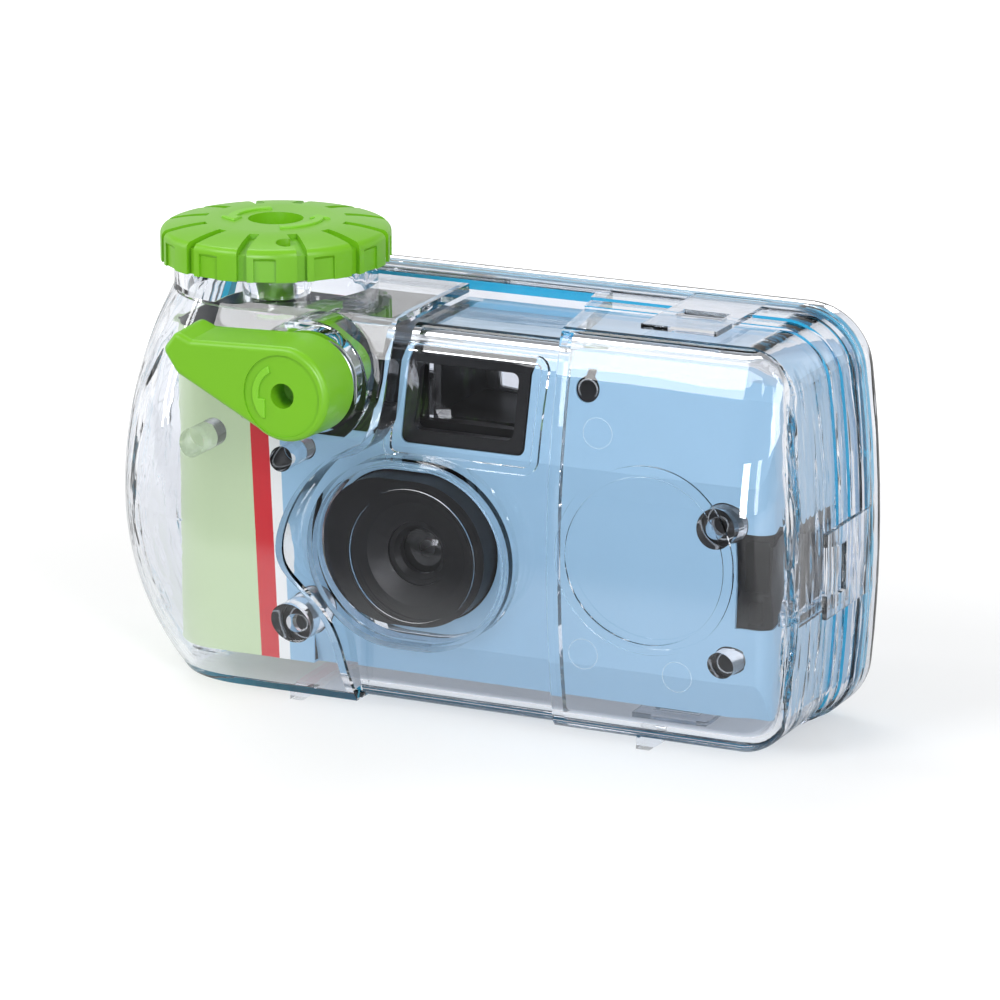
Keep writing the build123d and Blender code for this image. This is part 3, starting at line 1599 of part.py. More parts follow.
# Spool of the cassette
with BuildPart() as cassette_spool:
    low = cassette_bottom + cassette_wall + nest_gap
    high = cassette_top - cassette_wall - nest_gap
    thick = spool_flange_thick
    add(pillar(knob_x, knob_y, cassette_bottom, spool_top, spool_hub_radius))
    add(pillar(knob_x, knob_y, low, high, spool_core))
    add(pillar(knob_x, knob_y, low, low + thick, spool_flange))
    add(pillar(knob_x, knob_y, high - thick, high, spool_flange))
    bore = wheel_pin_radius + fit_gap
    add(pillar(knob_x, knob_y, pin_bottom - fit_gap, spool_top, bore), mode=Mode.SUBTRACT)
cassette_spool.part.label = "cassette_spool"
export_step(cassette_spool.part, "parts/cassette_spool.step")

# Spool that gives the film, on a pin of the rear cover
with BuildPart() as supply_spool:
    low = cam_bottom + cam_wall + nest_gap
    high = film_low + film_height + spool_flange_thick
    add(pillar(supply_x, supply_y, low, high, supply_core))
    bore = supply_pin_radius + fit_gap
    top = supply_pin_top + nest_gap
    add(pillar(supply_x, supply_y, low, top, bore), mode=Mode.SUBTRACT)
supply_spool.part.label = "supply_spool"
export_step(supply_spool.part, "parts/supply_spool.step")

# Film on that spool
with BuildPart() as film_roll:
    inner = supply_core + fit_gap
    add(ring(supply_x, supply_y, film_low, film_low + film_height, roll_radius, inner))
film_roll.part.label = "film_roll"
export_step(film_roll.part, "parts/film_roll.step")

# Film between the roll and the cassette, behind the gate
film_y = frame_back + film_gap
with BuildPart() as film_strip:
    with BuildSketch(Plane.XY.offset(film_low)):
        with BuildLine():
            FilletPolyline(
                (lip_x, lip_y),
                (film_turn_left, film_y),
                (film_turn_right, film_y),
                (film_end_x, film_end_y),
                radius=film_bend,
            )
        trace(line_width=film_thick)
    extrude(amount=film_height)
film_strip.part.label = "film_strip"
export_step(film_strip.part, "parts/film_strip.step")

# Sprocket wheel that the film turns, with its shaft up through the deck
with BuildPart() as sprocket_wheel:
    low = sprocket_z - sprocket_thick / 2
    wheel = toothed(sprocket_x, sprocket_y, low, sprocket_radius, sprocket_tooth, sprocket_teeth)
    extrude(wheel, amount=sprocket_thick)
    add(pillar(sprocket_x, sprocket_y, low, sprocket_shaft_top, sprocket_shaft))
    top = frame_deck + nest_gap
    add(pillar(sprocket_x, sprocket_y, top, sprocket_shaft_top, sprocket_hub))
sprocket_wheel.part.label = "sprocket_wheel"
export_step(sprocket_wheel.part, "parts/sprocket_wheel.step")

# Counter disc with a notched edge
with BuildPart() as counter_disc:
    inner = counter_radius - counter_notch
    edge = toothed(counter_x, counter_y, counter_z, inner, counter_notch, counter_notches)
    extrude(edge, amount=counter_thick)
    bore = counter_shaft + fit_gap
    top = counter_z + counter_thick
    add(pillar(counter_x, counter_y, counter_z, top, bore), mode=Mode.SUBTRACT)
counter_disc.part.label = "counter_disc"
export_step(counter_disc.part, "parts/counter_disc.step")
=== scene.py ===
import math

import bmesh
import bpy
from bpy.props import FloatProperty, FloatVectorProperty, IntProperty, PointerProperty
from mathutils import Matrix, Vector
from mathutils.bvhtree import BVHTree

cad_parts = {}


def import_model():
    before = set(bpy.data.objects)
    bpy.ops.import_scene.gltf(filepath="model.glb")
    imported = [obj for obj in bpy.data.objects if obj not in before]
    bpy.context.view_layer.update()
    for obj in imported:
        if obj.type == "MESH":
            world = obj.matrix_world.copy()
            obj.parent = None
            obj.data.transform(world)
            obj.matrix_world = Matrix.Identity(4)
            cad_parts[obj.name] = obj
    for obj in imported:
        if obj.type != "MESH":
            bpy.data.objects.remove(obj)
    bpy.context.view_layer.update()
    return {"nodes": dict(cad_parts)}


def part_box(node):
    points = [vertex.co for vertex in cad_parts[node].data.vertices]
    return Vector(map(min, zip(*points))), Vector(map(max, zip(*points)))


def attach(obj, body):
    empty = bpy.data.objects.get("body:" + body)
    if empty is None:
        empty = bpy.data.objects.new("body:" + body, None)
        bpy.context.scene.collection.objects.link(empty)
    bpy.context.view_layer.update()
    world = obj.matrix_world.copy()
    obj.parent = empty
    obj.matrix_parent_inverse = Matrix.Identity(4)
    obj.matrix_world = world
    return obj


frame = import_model()
nodes = frame["nodes"]

bl_info = {
    "name": "Waterproof Single-Use Camera",
    "version": (1, 0, 0),
    "blender": (4, 5, 0),
    "location": "View3D > Sidebar > Camera",
    "description": "Finishes, printed card, raised signs and studio of a camera in a clear case",
    "category": "Object",
}

MM = 0.001

# Spots of the front in millimetres, across and up
EJECTOR_SPOTS = ((28.4, 51.9), (26.8, 15.9), (42.9, 14.1))
WIDE_PEGS = ((-23.9, 15.4), (49.2, 39.0))
NARROW_PEGS = ((50.0, 16.8), (-24.6, 42.9), (24.3, 57.1))
LEVER_HUB = (-19.5, 56.2)

# Spots of the top in millimetres, across and back
GATE_SPOTS = ((-14.1, 12.0), (39.0, 5.2))

# Left, right, low and high edges of the raised fields in millimetres, and the cut of two corners
COVER_FIELDS = ((52.2, 56.6, 28.5, 36.7), (52.6, 55.4, 23.0, 26.6))
FIELD_CUT = 0.5

# Arrows of the knob: half the shaft's width in millimetres, the angles of their starts, shafts
# and heads in degrees, and the outer corner, tip and inner corner of a head in half widths
KNOB_ARROW_HALF = 0.75
KNOB_ARROW_STARTS = (122, 302)
KNOB_ARROW_SWEEP = 78
KNOB_ARROW_HEAD = 23
KNOB_ARROW_CORNERS = (2.4, -0.2, -2.2)

# Arrow of the lever: half its width in millimetres, its outer and inner arcs in degrees, and its
# straight end in millimetres from the hub
LEVER_ARROW_HALF = 0.55
LEVER_ARC_OUT = (116, 228)
LEVER_ARC_IN = (186, 120)
LEVER_ARROW_END = ((-3.0, -3.9), (-3.0, -0.8), (-4.15, -0.7))

# Shares of a raised sign's rise: how deep it is sunk, and how far its edges are softened
SUNK = 1 / 3
ARROW_SOFT = 0.45
FIELD_SOFT = 0.4

# Rings of the moulding marks: share of their rise that lifts them off the face, their sides, and
# how an oval one is narrowed
RING_LIFT = 0.4
RING_SIDES = 40
ROUND = (1.0, 1.0, 1.0)
OVAL = (1.0, 0.55, 1.0)

# Counter dial: shares of the disc's radius, and every how many ticks a number stands
TICK_RING = 0.86
TICK_LENGTH = 0.12
TICK_WIDTH = 0.03
NUMBER_RING = 0.63
NUMBER_SIZE = 0.27
NUMBER_STEP = 3

# What one wall of clear plastic leaves of a lamp's light
LAMP_TINT = (0.95, 0.96, 0.97, 1)

# Turns an outline that lies flat up to face the front
TO_FRONT = Matrix(((1, 0, 0), (0, 0, -1), (0, 1, 0))).to_4x4()

# Far enough before or above the object in metres for a ray to start there
OUTSIDE = 0.1

# Point that the lamps are aimed at, and the camera's place and angles in degrees
AIM = (0, 0, 0.035)
CAMERA_PLACE = (0.39339, -0.82542, 0.29103)
CAMERA_DOWN = 15.66
CAMERA_ROUND = 25.14

# Parts of a ray's direction: upwards, where the background fades to the ceiling, and to the
# front, where reflections start and end to lose it
FADE_UP = (0.1, 0.5)
FADE_FRONT = (-0.3, -0.8)


# Kinds of value that a user may change


def sized(name, text, value):
    """Length in metres"""
    return FloatProperty(name=name, description=text, default=value, unit="LENGTH", precision=5)


def shade(name, text, value):
    """Linear colour"""
    return FloatVectorProperty(
        name=name, description=text, default=value, size=3, subtype="COLOR", min=0, max=1
    )


def share(name, text, value, top=1.0):
    """Plain number from 0"""
    return FloatProperty(
        name=name, description=text, default=value, min=0, max=top, subtype="FACTOR"
    )


def power(name, text, value):
    """Power of a lamp"""
    return FloatProperty(name=name, description=text, default=value, unit="POWER", min=0)


class CaseFinish(bpy.types.PropertyGroup):
    """Clear case, its gasket and its rings"""

    clear: shade("Clear", "Tint of the clear plastic", (0.945, 0.962, 1.0))
    index: share("Index", "How strongly the clear plastic bends light", 1.52, 3)
    wave: share("Wave", "Strength of the flow marks in the flat parts", 0.02)
    side_wave: share("Side wave", "Strength of the flow marks in bulge, neck and right flank", 0.7)
    bulge_edge: sized("Bulge edge", "Where the wavy part of the bulge starts", -47.0 * MM)
    bulge_fade: sized("Bulge fade", "Half the width over which the bulge turns wavy", 4.0 * MM)
    flank_edge: sized("Flank edge", "Where the wavy part of the right flank starts", 57.5 * MM)
    neck_edge: sized("Neck edge", "Height where the wavy part of the neck starts", 68.5 * MM)
    edge_fade: sized("Edge fade", "Half the width over which flank and neck turn wavy", 1.0 * MM)
    gasket: shade("Gasket", "Colour of the rubber gasket", (0.01, 0.48, 0.78))
    ring: shade("Rings", "Colour of the rubber rings", (0.02, 0.02, 0.022))
    gate_length: sized("Gate mark length", "Length of an oval gate mark", 5.6 * MM)
    pin_radius: sized("Pin mark radius", "Radius of a round ejector mark", 2.5 * MM)
    wide_peg: sized("Wide peg", "Radius of the rim of a wide peg", 2.6 * MM)
    narrow_peg: sized("Narrow peg", "Radius of the rim of a narrow peg", 1.6 * MM)
    peg_ring: sized("Peg ring", "Half the height of the rounded rim at a peg's end", 0.14 * MM)
    mark_rise: sized("Mark rise", "Half the height of the ring of a moulding mark", 0.04 * MM)


class MovingFinish(bpy.types.PropertyGroup):
    """Knob, lever and what turns with them"""

    green: shade("Green", "Colour of the knob and the lever", (0.19, 0.52, 0.01))
    green_deep: shade("Deep green", "Darker flow of the green plastic", (0.174, 0.485, 0.009))
    rough: share("Roughness", "Roughness of the green plastic", 0.36)
    arrow_rise: sized("Arrow rise", "How far the arrows stand up", 0.5 * MM)
    knob_arrow: sized("Knob arrow radius", "Radius of the arrows round the knob's hole", 7.2 * MM)
    lever_arrow: sized("Lever arrow radius", "Radius of the arrow at the lever's hole", 4.7 * MM)


class PrintFinish(bpy.types.PropertyGroup):
    """Printed card sleeve with its colour bands"""

    green: shade("Light green", "Band at the left", (0.60, 0.73, 0.45))
    red: shade("Red", "Narrow band", (0.65, 0.008, 0.018))
    white: shade("White", "Narrow band beside the red", (0.93, 0.92, 0.90))
    blue: shade("Light blue", "Field at the right", (0.315, 0.52, 0.71))
    red_edge: sized("Red edge", "Left edge of the red band at mid height", -33.7 * MM)
    white_edge: sized("White edge", "Left edge of the white band at mid height", -30.4 * MM)
    blue_edge: sized("Blue edge", "Left edge of the blue field at mid height", -28.4 * MM)
    mid_height: sized("Mid height", "Height at which the edges are given", 30.0 * MM)
    lean: share("Lean", "How far the bands lean to the left for their height", 0.045)


class InnerFinish(bpy.types.PropertyGroup):
    """Inner camera, its film and its wheels"""

    black: shade("Black", "Covers and frame of the inner camera", (0.008, 0.008, 0.009))
    white: shade("White", "Wheels", (0.72, 0.72, 0.70))
    grey: shade("Grey", "Spools and button", (0.22, 0.22, 0.22))
    steel: shade("Steel", "Clips, springs and shutter", (0.56, 0.56, 0.58))
    cassette: shade("Cassette", "Painted cassette shell", (0.30, 0.31, 0.33))
    film: shade("Film", "Film strip and roll", (0.055, 0.035, 0.028))
    lens: shade("Lens", "Moulded lenses", (0.97, 0.98, 1.0))
    lens_index: share("Lens index", "How strongly the lenses bend light", 1.49, 3)
    field_rise: sized("Field rise", "How far the fields of the black cover stand up", 0.45 * MM)
    tick_rise: sized("Tick rise", "Thickness of the counter's ticks", 0.06 * MM)
    number_rise: sized("Number rise", "Half the thickness of the counter's numbers", 0.03 * MM)
    ticks: IntProperty(
        name="Ticks", description="Divisions of the counter", default=27, min=3, subtype="UNSIGNED"
    )


class StudioSetup(bpy.types.PropertyGroup):
    """Floor, lamps and camera"""

    floor_size: sized("Floor", "Side of the floor", 12.0)
    floor: shade("Floor colour", "Colour of the floor", (0.66, 0.66, 0.66))
    floor_dark: shade("Mirrored floor", "Floor in front as it is reflected", (0.12, 0.12, 0.12))
    front_start: sized("Front start", "Depth where the mirrored floor starts to darken", -0.06)
    front_end: sized("Front end", "Depth where the mirrored floor is darkest", -0.10)
    front_side: sized("Front side", "Where the mirrored floor is darkest at the right", 0.06)
    front_fade: sized("Front fade", "Width over which it is pale again at the right", 0.05)
    front_wall: share("Front wall", "Share of the background that reflections lose", 0.88)
    clear_white: share("White through", "Share of the added white seen through clear parts", 0.5)
    under_white: share("White under", "Share seen through clear parts under the object", 1.0)
    under_start: sized("Under start", "Where the share under the object starts to rise", 0.07)
    under_end: sized("Under end", "Where the share under the object is full", 0.05)
    glow_near: share("White near", "White added for the camera beside the object", 0.33)
    glow_far: share("White far", "White added for the camera away from the object", 0.7)
    glow_start: sized("White start", "Where the added white starts to rise", 0.10)
    glow_end: sized("White end", "Where the added white is full", 0.30)
    world: share("World", "Strength of the even light", 0.53, 4)
    ceiling: share("Ceiling", "Strength of the upper background in clear and shiny parts", 0.3)
    key: power("Key", "Power of the large soft lamp", 6.0)
    strip: power("Strip", "Power of the upright strip lamp at the left", 1.5)
    top: power("Top", "Power of the lamp above", 2.3)
    front: power("Front", "Power of the lamp that only makes highlights on the lens", 5.0)
    side: power("Side", "Power of the soft lamp at the right", 5.0)
    lens: FloatProperty(
        name="Lens", description="Focal length of the camera", default=211.45, unit="CAMERA"
    )


# Nodes and shaders


def new_material(name):
    """Empty node material and its output"""
    material = bpy.data.materials.new(name)
    material.use_nodes = True
    material.node_tree.nodes.clear()
    output = material.node_tree.nodes.new("ShaderNodeOutputMaterial")
    return material, material.node_tree, output


def link(tree, source, target):
    """Joins two sockets"""
    tree.links.new(source, target)


def math_node(tree, operation, a, b):
    """Math node whose inputs are sockets or numbers"""
    node = tree.nodes.new("ShaderNodeMath")
    node.operation = operation
    for socket, value in zip(node.inputs, (a, b)):
        if isinstance(value, (int, float)):
            socket.default_value = value
        else:
            link(tree, value, socket)
    return node.outputs[0]


def ramp(tree, value, start, end, low=0.0, high=1.0):
    """Value that goes smoothly from low at start to high at end"""
    node = tree.nodes.new("ShaderNodeMapRange")
    node.interpolation_type = "SMOOTHSTEP"
    link(tree, value, node.inputs["Value"])
    node.inputs["From Min"].default_value = start
    node.inputs["From Max"].default_value = end
    node.inputs["To Min"].default_value = low
    node.inputs["To Max"].default_value = high
    return node.outputs[0]


def mix_colour(tree, factor, a, b, blend="MIX"):
    """Colour mix whose inputs are sockets, colours or numbers"""
    node = tree.nodes.new("ShaderNodeMix")
    node.data_type = "RGBA"
    node.blend_type = blend
    sockets = {socket.identifier: socket for socket in (*node.inputs, *node.outputs)}
    for label, value in (("Factor_Float", factor), ("A_Color", a), ("B_Color", b)):
        socket = sockets[label]
        if hasattr(value, "links"):
            link(tree, value, socket)
        elif isinstance(value, (int, float)):
            socket.default_value = value
        else:
            socket.default_value = (*value, 1)
    return sockets["Result_Color"]


def object_place(tree):
    """Place on the object, as a vector and as its three parts"""
    place = tree.nodes.new("ShaderNodeTexCoord").outputs["Object"]
    split = tree.nodes.new("ShaderNodeSeparateXYZ")
    link(tree, place, split.inputs[0])
    return place, split.outputs


def group_tree(name, kind, inputs, outputs):
    """Node group with named sockets, and the nodes where it starts and ends"""
    tree = bpy.data.node_groups.new(name, kind)
    for label, socket_kind, *value in inputs:
        socket = tree.interface.new_socket(label, in_out="INPUT", socket_type=socket_kind)
        if value:
            socket.default_value = value[0]
    for label, socket_kind in outputs:
        tree.interface.new_socket(label, in_out="OUTPUT", socket_type=socket_kind)
    return tree, tree.nodes.new("NodeGroupInput"), tree.nodes.new("NodeGroupOutput")


def moulded_group():
    """Flow marks and fine grain of a moulded, printed or rolled surface, built once"""
    name = "moulded_surface"
    if name in bpy.data.node_groups:
        return bpy.data.node_groups[name]
    tree, entry, leave = group_tree(
        name,
        "ShaderNodeTree",
        (
            ("Colour", "NodeSocketColor", (1, 1, 1, 1)),
            ("Flow Colour", "NodeSocketColor", (1, 1, 1, 1)),
            ("Flow Scale", "NodeSocketFloat", 60.0),
            ("Grain Scale", "NodeSocketFloat", 2500.0),
            ("Roughness", "NodeSocketFloat", 0.4),
            ("Spread", "NodeSocketFloat", 0.08),
            ("Grain", "NodeSocketFloat", 0.1),
            ("Grain Height", "NodeSocketFloat", 0.00002),
            ("Grain Stretch", "NodeSocketVector", (1, 1, 1)),
        ),
        (
            ("Colour", "NodeSocketColor"),
            ("Roughness", "NodeSocketFloat"),
            ("Normal", "NodeSocketVector"),
        ),
    )
    place = tree.nodes.new("ShaderNodeTexCoord").outputs["Object"]
    flow = tree.nodes.new("ShaderNodeTexNoise")
    flow.inputs["Detail"].default_value = 3
    link(tree, place, flow.inputs["Vector"])
    link(tree, entry.outputs["Flow Scale"], flow.inputs["Scale"])
    grain = tree.nodes.new("ShaderNodeTexNoise")
    grain.inputs["Detail"].default_value = 2
    stretch = tree.nodes.new("ShaderNodeVectorMath")
    stretch.operation = "MULTIPLY"
    link(tree, place, stretch.inputs[0])
    link(tree, entry.outputs["Grain Stretch"], stretch.inputs[1])
    link(tree, stretch.outputs[0], grain.inputs["Vector"])
    link(tree, entry.outputs["Grain Scale"], grain.inputs["Scale"])
    mask = flow.outputs["Fac"]
    colour = mix_colour(tree, mask, entry.outputs["Colour"], entry.outputs["Flow Colour"])
    link(tree, colour, leave.inputs["Colour"])
    shift = math_node(tree, "SUBTRACT", mask, 0.5)
    shift = math_node(tree, "MULTIPLY", shift, entry.outputs["Spread"])
    rough = math_node(tree, "ADD", entry.outputs["Roughness"], shift)
    link(tree, rough, leave.inputs["Roughness"])
    bump = tree.nodes.new("ShaderNodeBump")
    link(tree, entry.outputs["Grain"], bump.inputs["Strength"])
    link(tree, entry.outputs["Grain Height"], bump.inputs["Distance"])
    link(tree, grain.outputs["Fac"], bump.inputs["Height"])
    link(tree, bump.outputs["Normal"], leave.inputs["Normal"])
    return tree


def moulded_skin(tree, colour, flow_colour, roughness, **more):
    """Moulded group with its values set"""
    node = tree.nodes.new("ShaderNodeGroup")
    node.node_tree = moulded_group()
    values = {"Colour": (*colour, 1), "Flow Colour": (*flow_colour, 1), "Roughness": roughness}
    values.update(more)
    for label, value in values.items():
        node.inputs[label].default_value = value
    return node


def feed(tree, shader, skin, colour=None):
    """Gives a shader the colour, roughness and grain of a skin"""
    link(tree, colour or skin.outputs["Colour"], shader.inputs["Base Color"])
    link(tree, skin.outputs["Roughness"], shader.inputs["Roughness"])
    link(tree, skin.outputs["Normal"], shader.inputs["Normal"])


def finish(name, colour, flow_colour, roughness, metallic=0.0, coat=0.0, shine=0.5, **more):
    """Opaque procedural material"""
    material, tree, output = new_material(name)
    shader = tree.nodes.new("ShaderNodeBsdfPrincipled")
    shader.inputs["Metallic"].default_value = metallic
    shader.inputs["Specular IOR Level"].default_value = shine
    shader.inputs["Coat Weight"].default_value = coat
    feed(tree, shader, moulded_skin(tree, colour, flow_colour, roughness, **more))
    link(tree, shader.outputs[0], output.inputs["Surface"])
    return material


def clear_material(name, tint, index, roughness, wave=None, **more):
    """Clear plastic that bends light and lets the lamps through to what it covers

    Where it is given, wave draws how strong the flow marks are.
    """
    material, tree, output = new_material(name)
    shader = tree.nodes.new("ShaderNodeBsdfPrincipled")
    shader.inputs["Transmission Weight"].default_value = 1.0
    shader.inputs["IOR"].default_value = index
    skin = moulded_skin(tree, tint, tint, roughness, **more)
    if wave:
        link(tree, wave(tree), skin.inputs["Grain"])
    feed(tree, shader, skin)
    passing = tree.nodes.new("ShaderNodeBsdfTransparent")
    passing.inputs["Color"].default_value = LAMP_TINT
    path = tree.nodes.new("ShaderNodeLightPath").outputs
    lamp_ray = math_node(tree, "MAXIMUM", path["Is Shadow Ray"], path["Is Diffuse Ray"])
    mixed = tree.nodes.new("ShaderNodeMixShader")
    link(tree, lamp_ray, mixed.inputs[0])
    link(tree, shader.outputs[0], mixed.inputs[1])
    link(tree, passing.outputs[0], mixed.inputs[2])
    link(tree, mixed.outputs[0], output.inputs["Surface"])
    return material


def darker(colour, amount=0.85):
    """The same colour, darker or lighter by a factor"""
    return tuple(part * amount for part in colour)


def dress(names, material):
    """Puts one material on all slots of these CAD nodes"""
    for name in names:
        slots = nodes[name].data.materials
        for place in range(len(slots)):
            slots[place] = material
        if not len(slots):
            slots.append(material)


# Meshes


def settle(name, shape, body, slot, *materials):
    """Object for a mesh that is already in its place, riding on a body"""
    piece = bpy.data.objects.new(name, shape)
    bpy.context.scene.collection.objects.link(piece)
    for material in materials:
        shape.materials.append(material)
    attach(piece, body)


def raised_sign(name, outline, rise, to_place, bevel):
    """Mesh of a flat outline pushed up, with softened edges, put in its place by a matrix"""
    work = bmesh.new()
    base = work.faces.new([work.verts.new((x, y, 0)) for x, y in outline])
    raised = bmesh.ops.extrude_face_region(work, geom=[base])
    tops = [part for part in raised["geom"] if isinstance(part, bmesh.types.BMVert)]
    bmesh.ops.translate(work, verts=tops, vec=(0, 0, rise))
    bmesh.ops.recalc_face_normals(work, faces=work.faces)
    rim = [edge for edge in work.edges if all(vert in tops for vert in edge.verts)]
    bmesh.ops.bevel(work, geom=rim, offset=bevel, segments=3, profile=0.6, affect="EDGES")
    work.transform(to_place)
    bmesh.ops.recalc_face_normals(work, faces=work.faces)
    shape = bpy.data.meshes.new(name)
    work.to_mesh(shape)
    work.free()
    return shape


def arc_point(radius, angle):
    """Point round a middle, its angle in degrees"""
    turn = math.radians(angle)
    return radius * math.cos(turn), radius * math.sin(turn)


def arc_points(radius, start, end, steps):
    """Points along an arc, its angles in degrees"""
    return [arc_point(radius, start + (end - start) * step / steps) for step in range(steps + 1)]


def knob_arrow_outline(radius, half, start):
    """Outline of an arrow bent round the knob's hole, half its shaft's width being given"""
    neck = start + KNOB_ARROW_SWEEP
    outer, tip, inner = KNOB_ARROW_CORNERS
    outline = arc_points(radius + half, start, neck, 14)
    outline.append(arc_point(radius + outer * half, neck))
    outline.append(arc_point(radius + tip * half, neck + KNOB_ARROW_HEAD))
    outline.append(arc_point(radius + inner * half, neck))
    return outline + arc_points(radius - half, neck, start, 14)


def lever_arrow_outline(radius, half):
    """Outline of the lever's arrow, bent beside its hole and straight at its end"""
    outline = arc_points(radius + half, *LEVER_ARC_OUT, 18)
    outline += [(x * MM, y * MM) for x, y in LEVER_ARROW_END]
    return outline + arc_points(radius - half, *LEVER_ARC_IN, 12)


def first_hit(node, start, way):
    """Where a ray first meets a CAD node"""
    graph = bpy.context.evaluated_depsgraph_get()
    tree = BVHTree.FromObject(nodes[node], graph)
    place = tree.ray_cast(Vector(start), Vector(way))[0]
    if place is None:
        raise RuntimeError("nothing of " + node + " lies there")
    return place


def front_of(node, across, up):
    """Frontmost place of a CAD node at a spot of the front"""
    return first_hit(node, (across, -OUTSIDE, up), (0, 1, 0))


def geometry_tree(name, inputs):
    """Geometry node tree with named inputs"""
    geometry = ("Geometry", "NodeSocketGeometry")
    return group_tree(name, "GeometryNodeTree", (geometry, *inputs), (geometry,))


def finish_tree(tree, entry, leave, source):
    """Ends a geometry node tree in real, painted geometry"""
    real = tree.nodes.new("GeometryNodeRealizeInstances")
    link(tree, source, real.inputs[0])
    paint = tree.nodes.new("GeometryNodeSetMaterial")
    link(tree, real.outputs[0], paint.inputs["Geometry"])
    link(tree, entry.outputs["Material"], paint.inputs["Material"])
    link(tree, paint.outputs[0], leave.inputs[0])


def mark_tree():
    """Fine round or oval rings, one on each point"""
    tree, entry, leave = geometry_tree(
        "moulding_marks",
        (
            ("Radius", "NodeSocketFloat"),
            ("Rise", "NodeSocketFloat"),
            ("Stretch", "NodeSocketVector"),
            ("Turn", "NodeSocketRotation"),
            ("Sides", "NodeSocketInt"),
            ("Material", "NodeSocketMaterial"),
        ),
    )
    ring = tree.nodes.new("GeometryNodeCurvePrimitiveCircle")
    link(tree, entry.outputs["Sides"], ring.inputs["Resolution"])
    link(tree, entry.outputs["Radius"], ring.inputs["Radius"])
    section = tree.nodes.new("GeometryNodeCurvePrimitiveCircle")
    section.inputs["Resolution"].default_value = 8
    link(tree, entry.outputs["Rise"], section.inputs["Radius"])
    body = tree.nodes.new("GeometryNodeCurveToMesh")
    link(tree, ring.outputs["Curve"], body.inputs["Curve"])
    link(tree, section.outputs["Curve"], body.inputs["Profile Curve"])
    spread = tree.nodes.new("GeometryNodeInstanceOnPoints")
    link(tree, entry.outputs["Geometry"], spread.inputs["Points"])
    link(tree, body.outputs["Mesh"], spread.inputs["Instance"])
    link(tree, entry.outputs["Turn"], spread.inputs["Rotation"])
    link(tree, entry.outputs["Stretch"], spread.inputs["Scale"])
    finish_tree(tree, entry, leave, spread.outputs["Instances"])
    return tree


def tick_tree():
    """Bars round a dial, pointing at its middle"""
    tree, entry, leave = geometry_tree(
        "dial_ticks",
        (
            ("Count", "NodeSocketInt"),
            ("Radius", "NodeSocketFloat"),
            ("Size", "NodeSocketVector"),
            ("Middle", "NodeSocketVector"),
            ("Material", "NodeSocketMaterial"),
        ),
    )
    circle = tree.nodes.new("GeometryNodeMeshCircle")
    link(tree, entry.outputs["Count"], circle.inputs["Vertices"])
    link(tree, entry.outputs["Radius"], circle.inputs["Radius"])
    bar = tree.nodes.new("GeometryNodeMeshCube")
    link(tree, entry.outputs["Size"], bar.inputs["Size"])
    aim = tree.nodes.new("FunctionNodeAlignRotationToVector")
    aim.axis = "X"
    place = tree.nodes.new("GeometryNodeInputPosition")
    link(tree, place.outputs[0], aim.inputs["Vector"])
    spread = tree.nodes.new("GeometryNodeInstanceOnPoints")
    link(tree, circle.outputs["Mesh"], spread.inputs["Points"])
    link(tree, bar.outputs["Mesh"], spread.inputs["Instance"])
    link(tree, aim.outputs["Rotation"], spread.inputs["Rotation"])
    move = tree.nodes.new("GeometryNodeTransform")
    link(tree, spread.outputs["Instances"], move.inputs["Geometry"])
    link(tree, entry.outputs["Middle"], move.inputs["Translation"])
    finish_tree(tree, entry, leave, move.outputs["Geometry"])
    return tree


def plain_mesh(name, carrier):
    """Mesh of an object as its modifiers or its letters make it"""
    graph = bpy.context.evaluated_depsgraph_get()
    shape = bpy.data.meshes.new_from_object(carrier.evaluated_get(graph))
    shape.name = name
    return shape


def grown_mesh(name, points, tree, values):
    """Plain mesh that a geometry node tree makes from points"""
    seed = bpy.data.meshes.new(name + "_points")
    seed.from_pydata(points, [], [])
    carrier = bpy.data.objects.new(name + "_carrier", seed)
    bpy.context.scene.collection.objects.link(carrier)
    modifier = carrier.modifiers.new("grow", "NODES")
    modifier.node_group = tree
    for socket in tree.interface.items_tree:
        if socket.in_out == "INPUT" and socket.name in values:
            modifier[socket.identifier] = values[socket.name]
    shape = plain_mesh(name, carrier)
    carrier.modifiers.remove(modifier)
    bpy.data.objects.remove(carrier)
    bpy.data.meshes.remove(seed)
    return shape


def number_mesh(name, text, size, rise):
    """Plain mesh of a number that lies flat round its own middle"""
    letters = bpy.data.curves.new("number", "FONT")
    letters.body = text
    letters.size = size
    letters.align_x = "CENTER"
    letters.align_y = "CENTER"
    letters.extrude = rise
    carrier = bpy.data.objects.new("number_carrier", letters)
    bpy.context.scene.collection.objects.link(carrier)
    shape = plain_mesh(name, carrier)
    bpy.data.objects.remove(carrier)
    bpy.data.curves.remove(letters)
    return shape


# Finishes of the CAD nodes


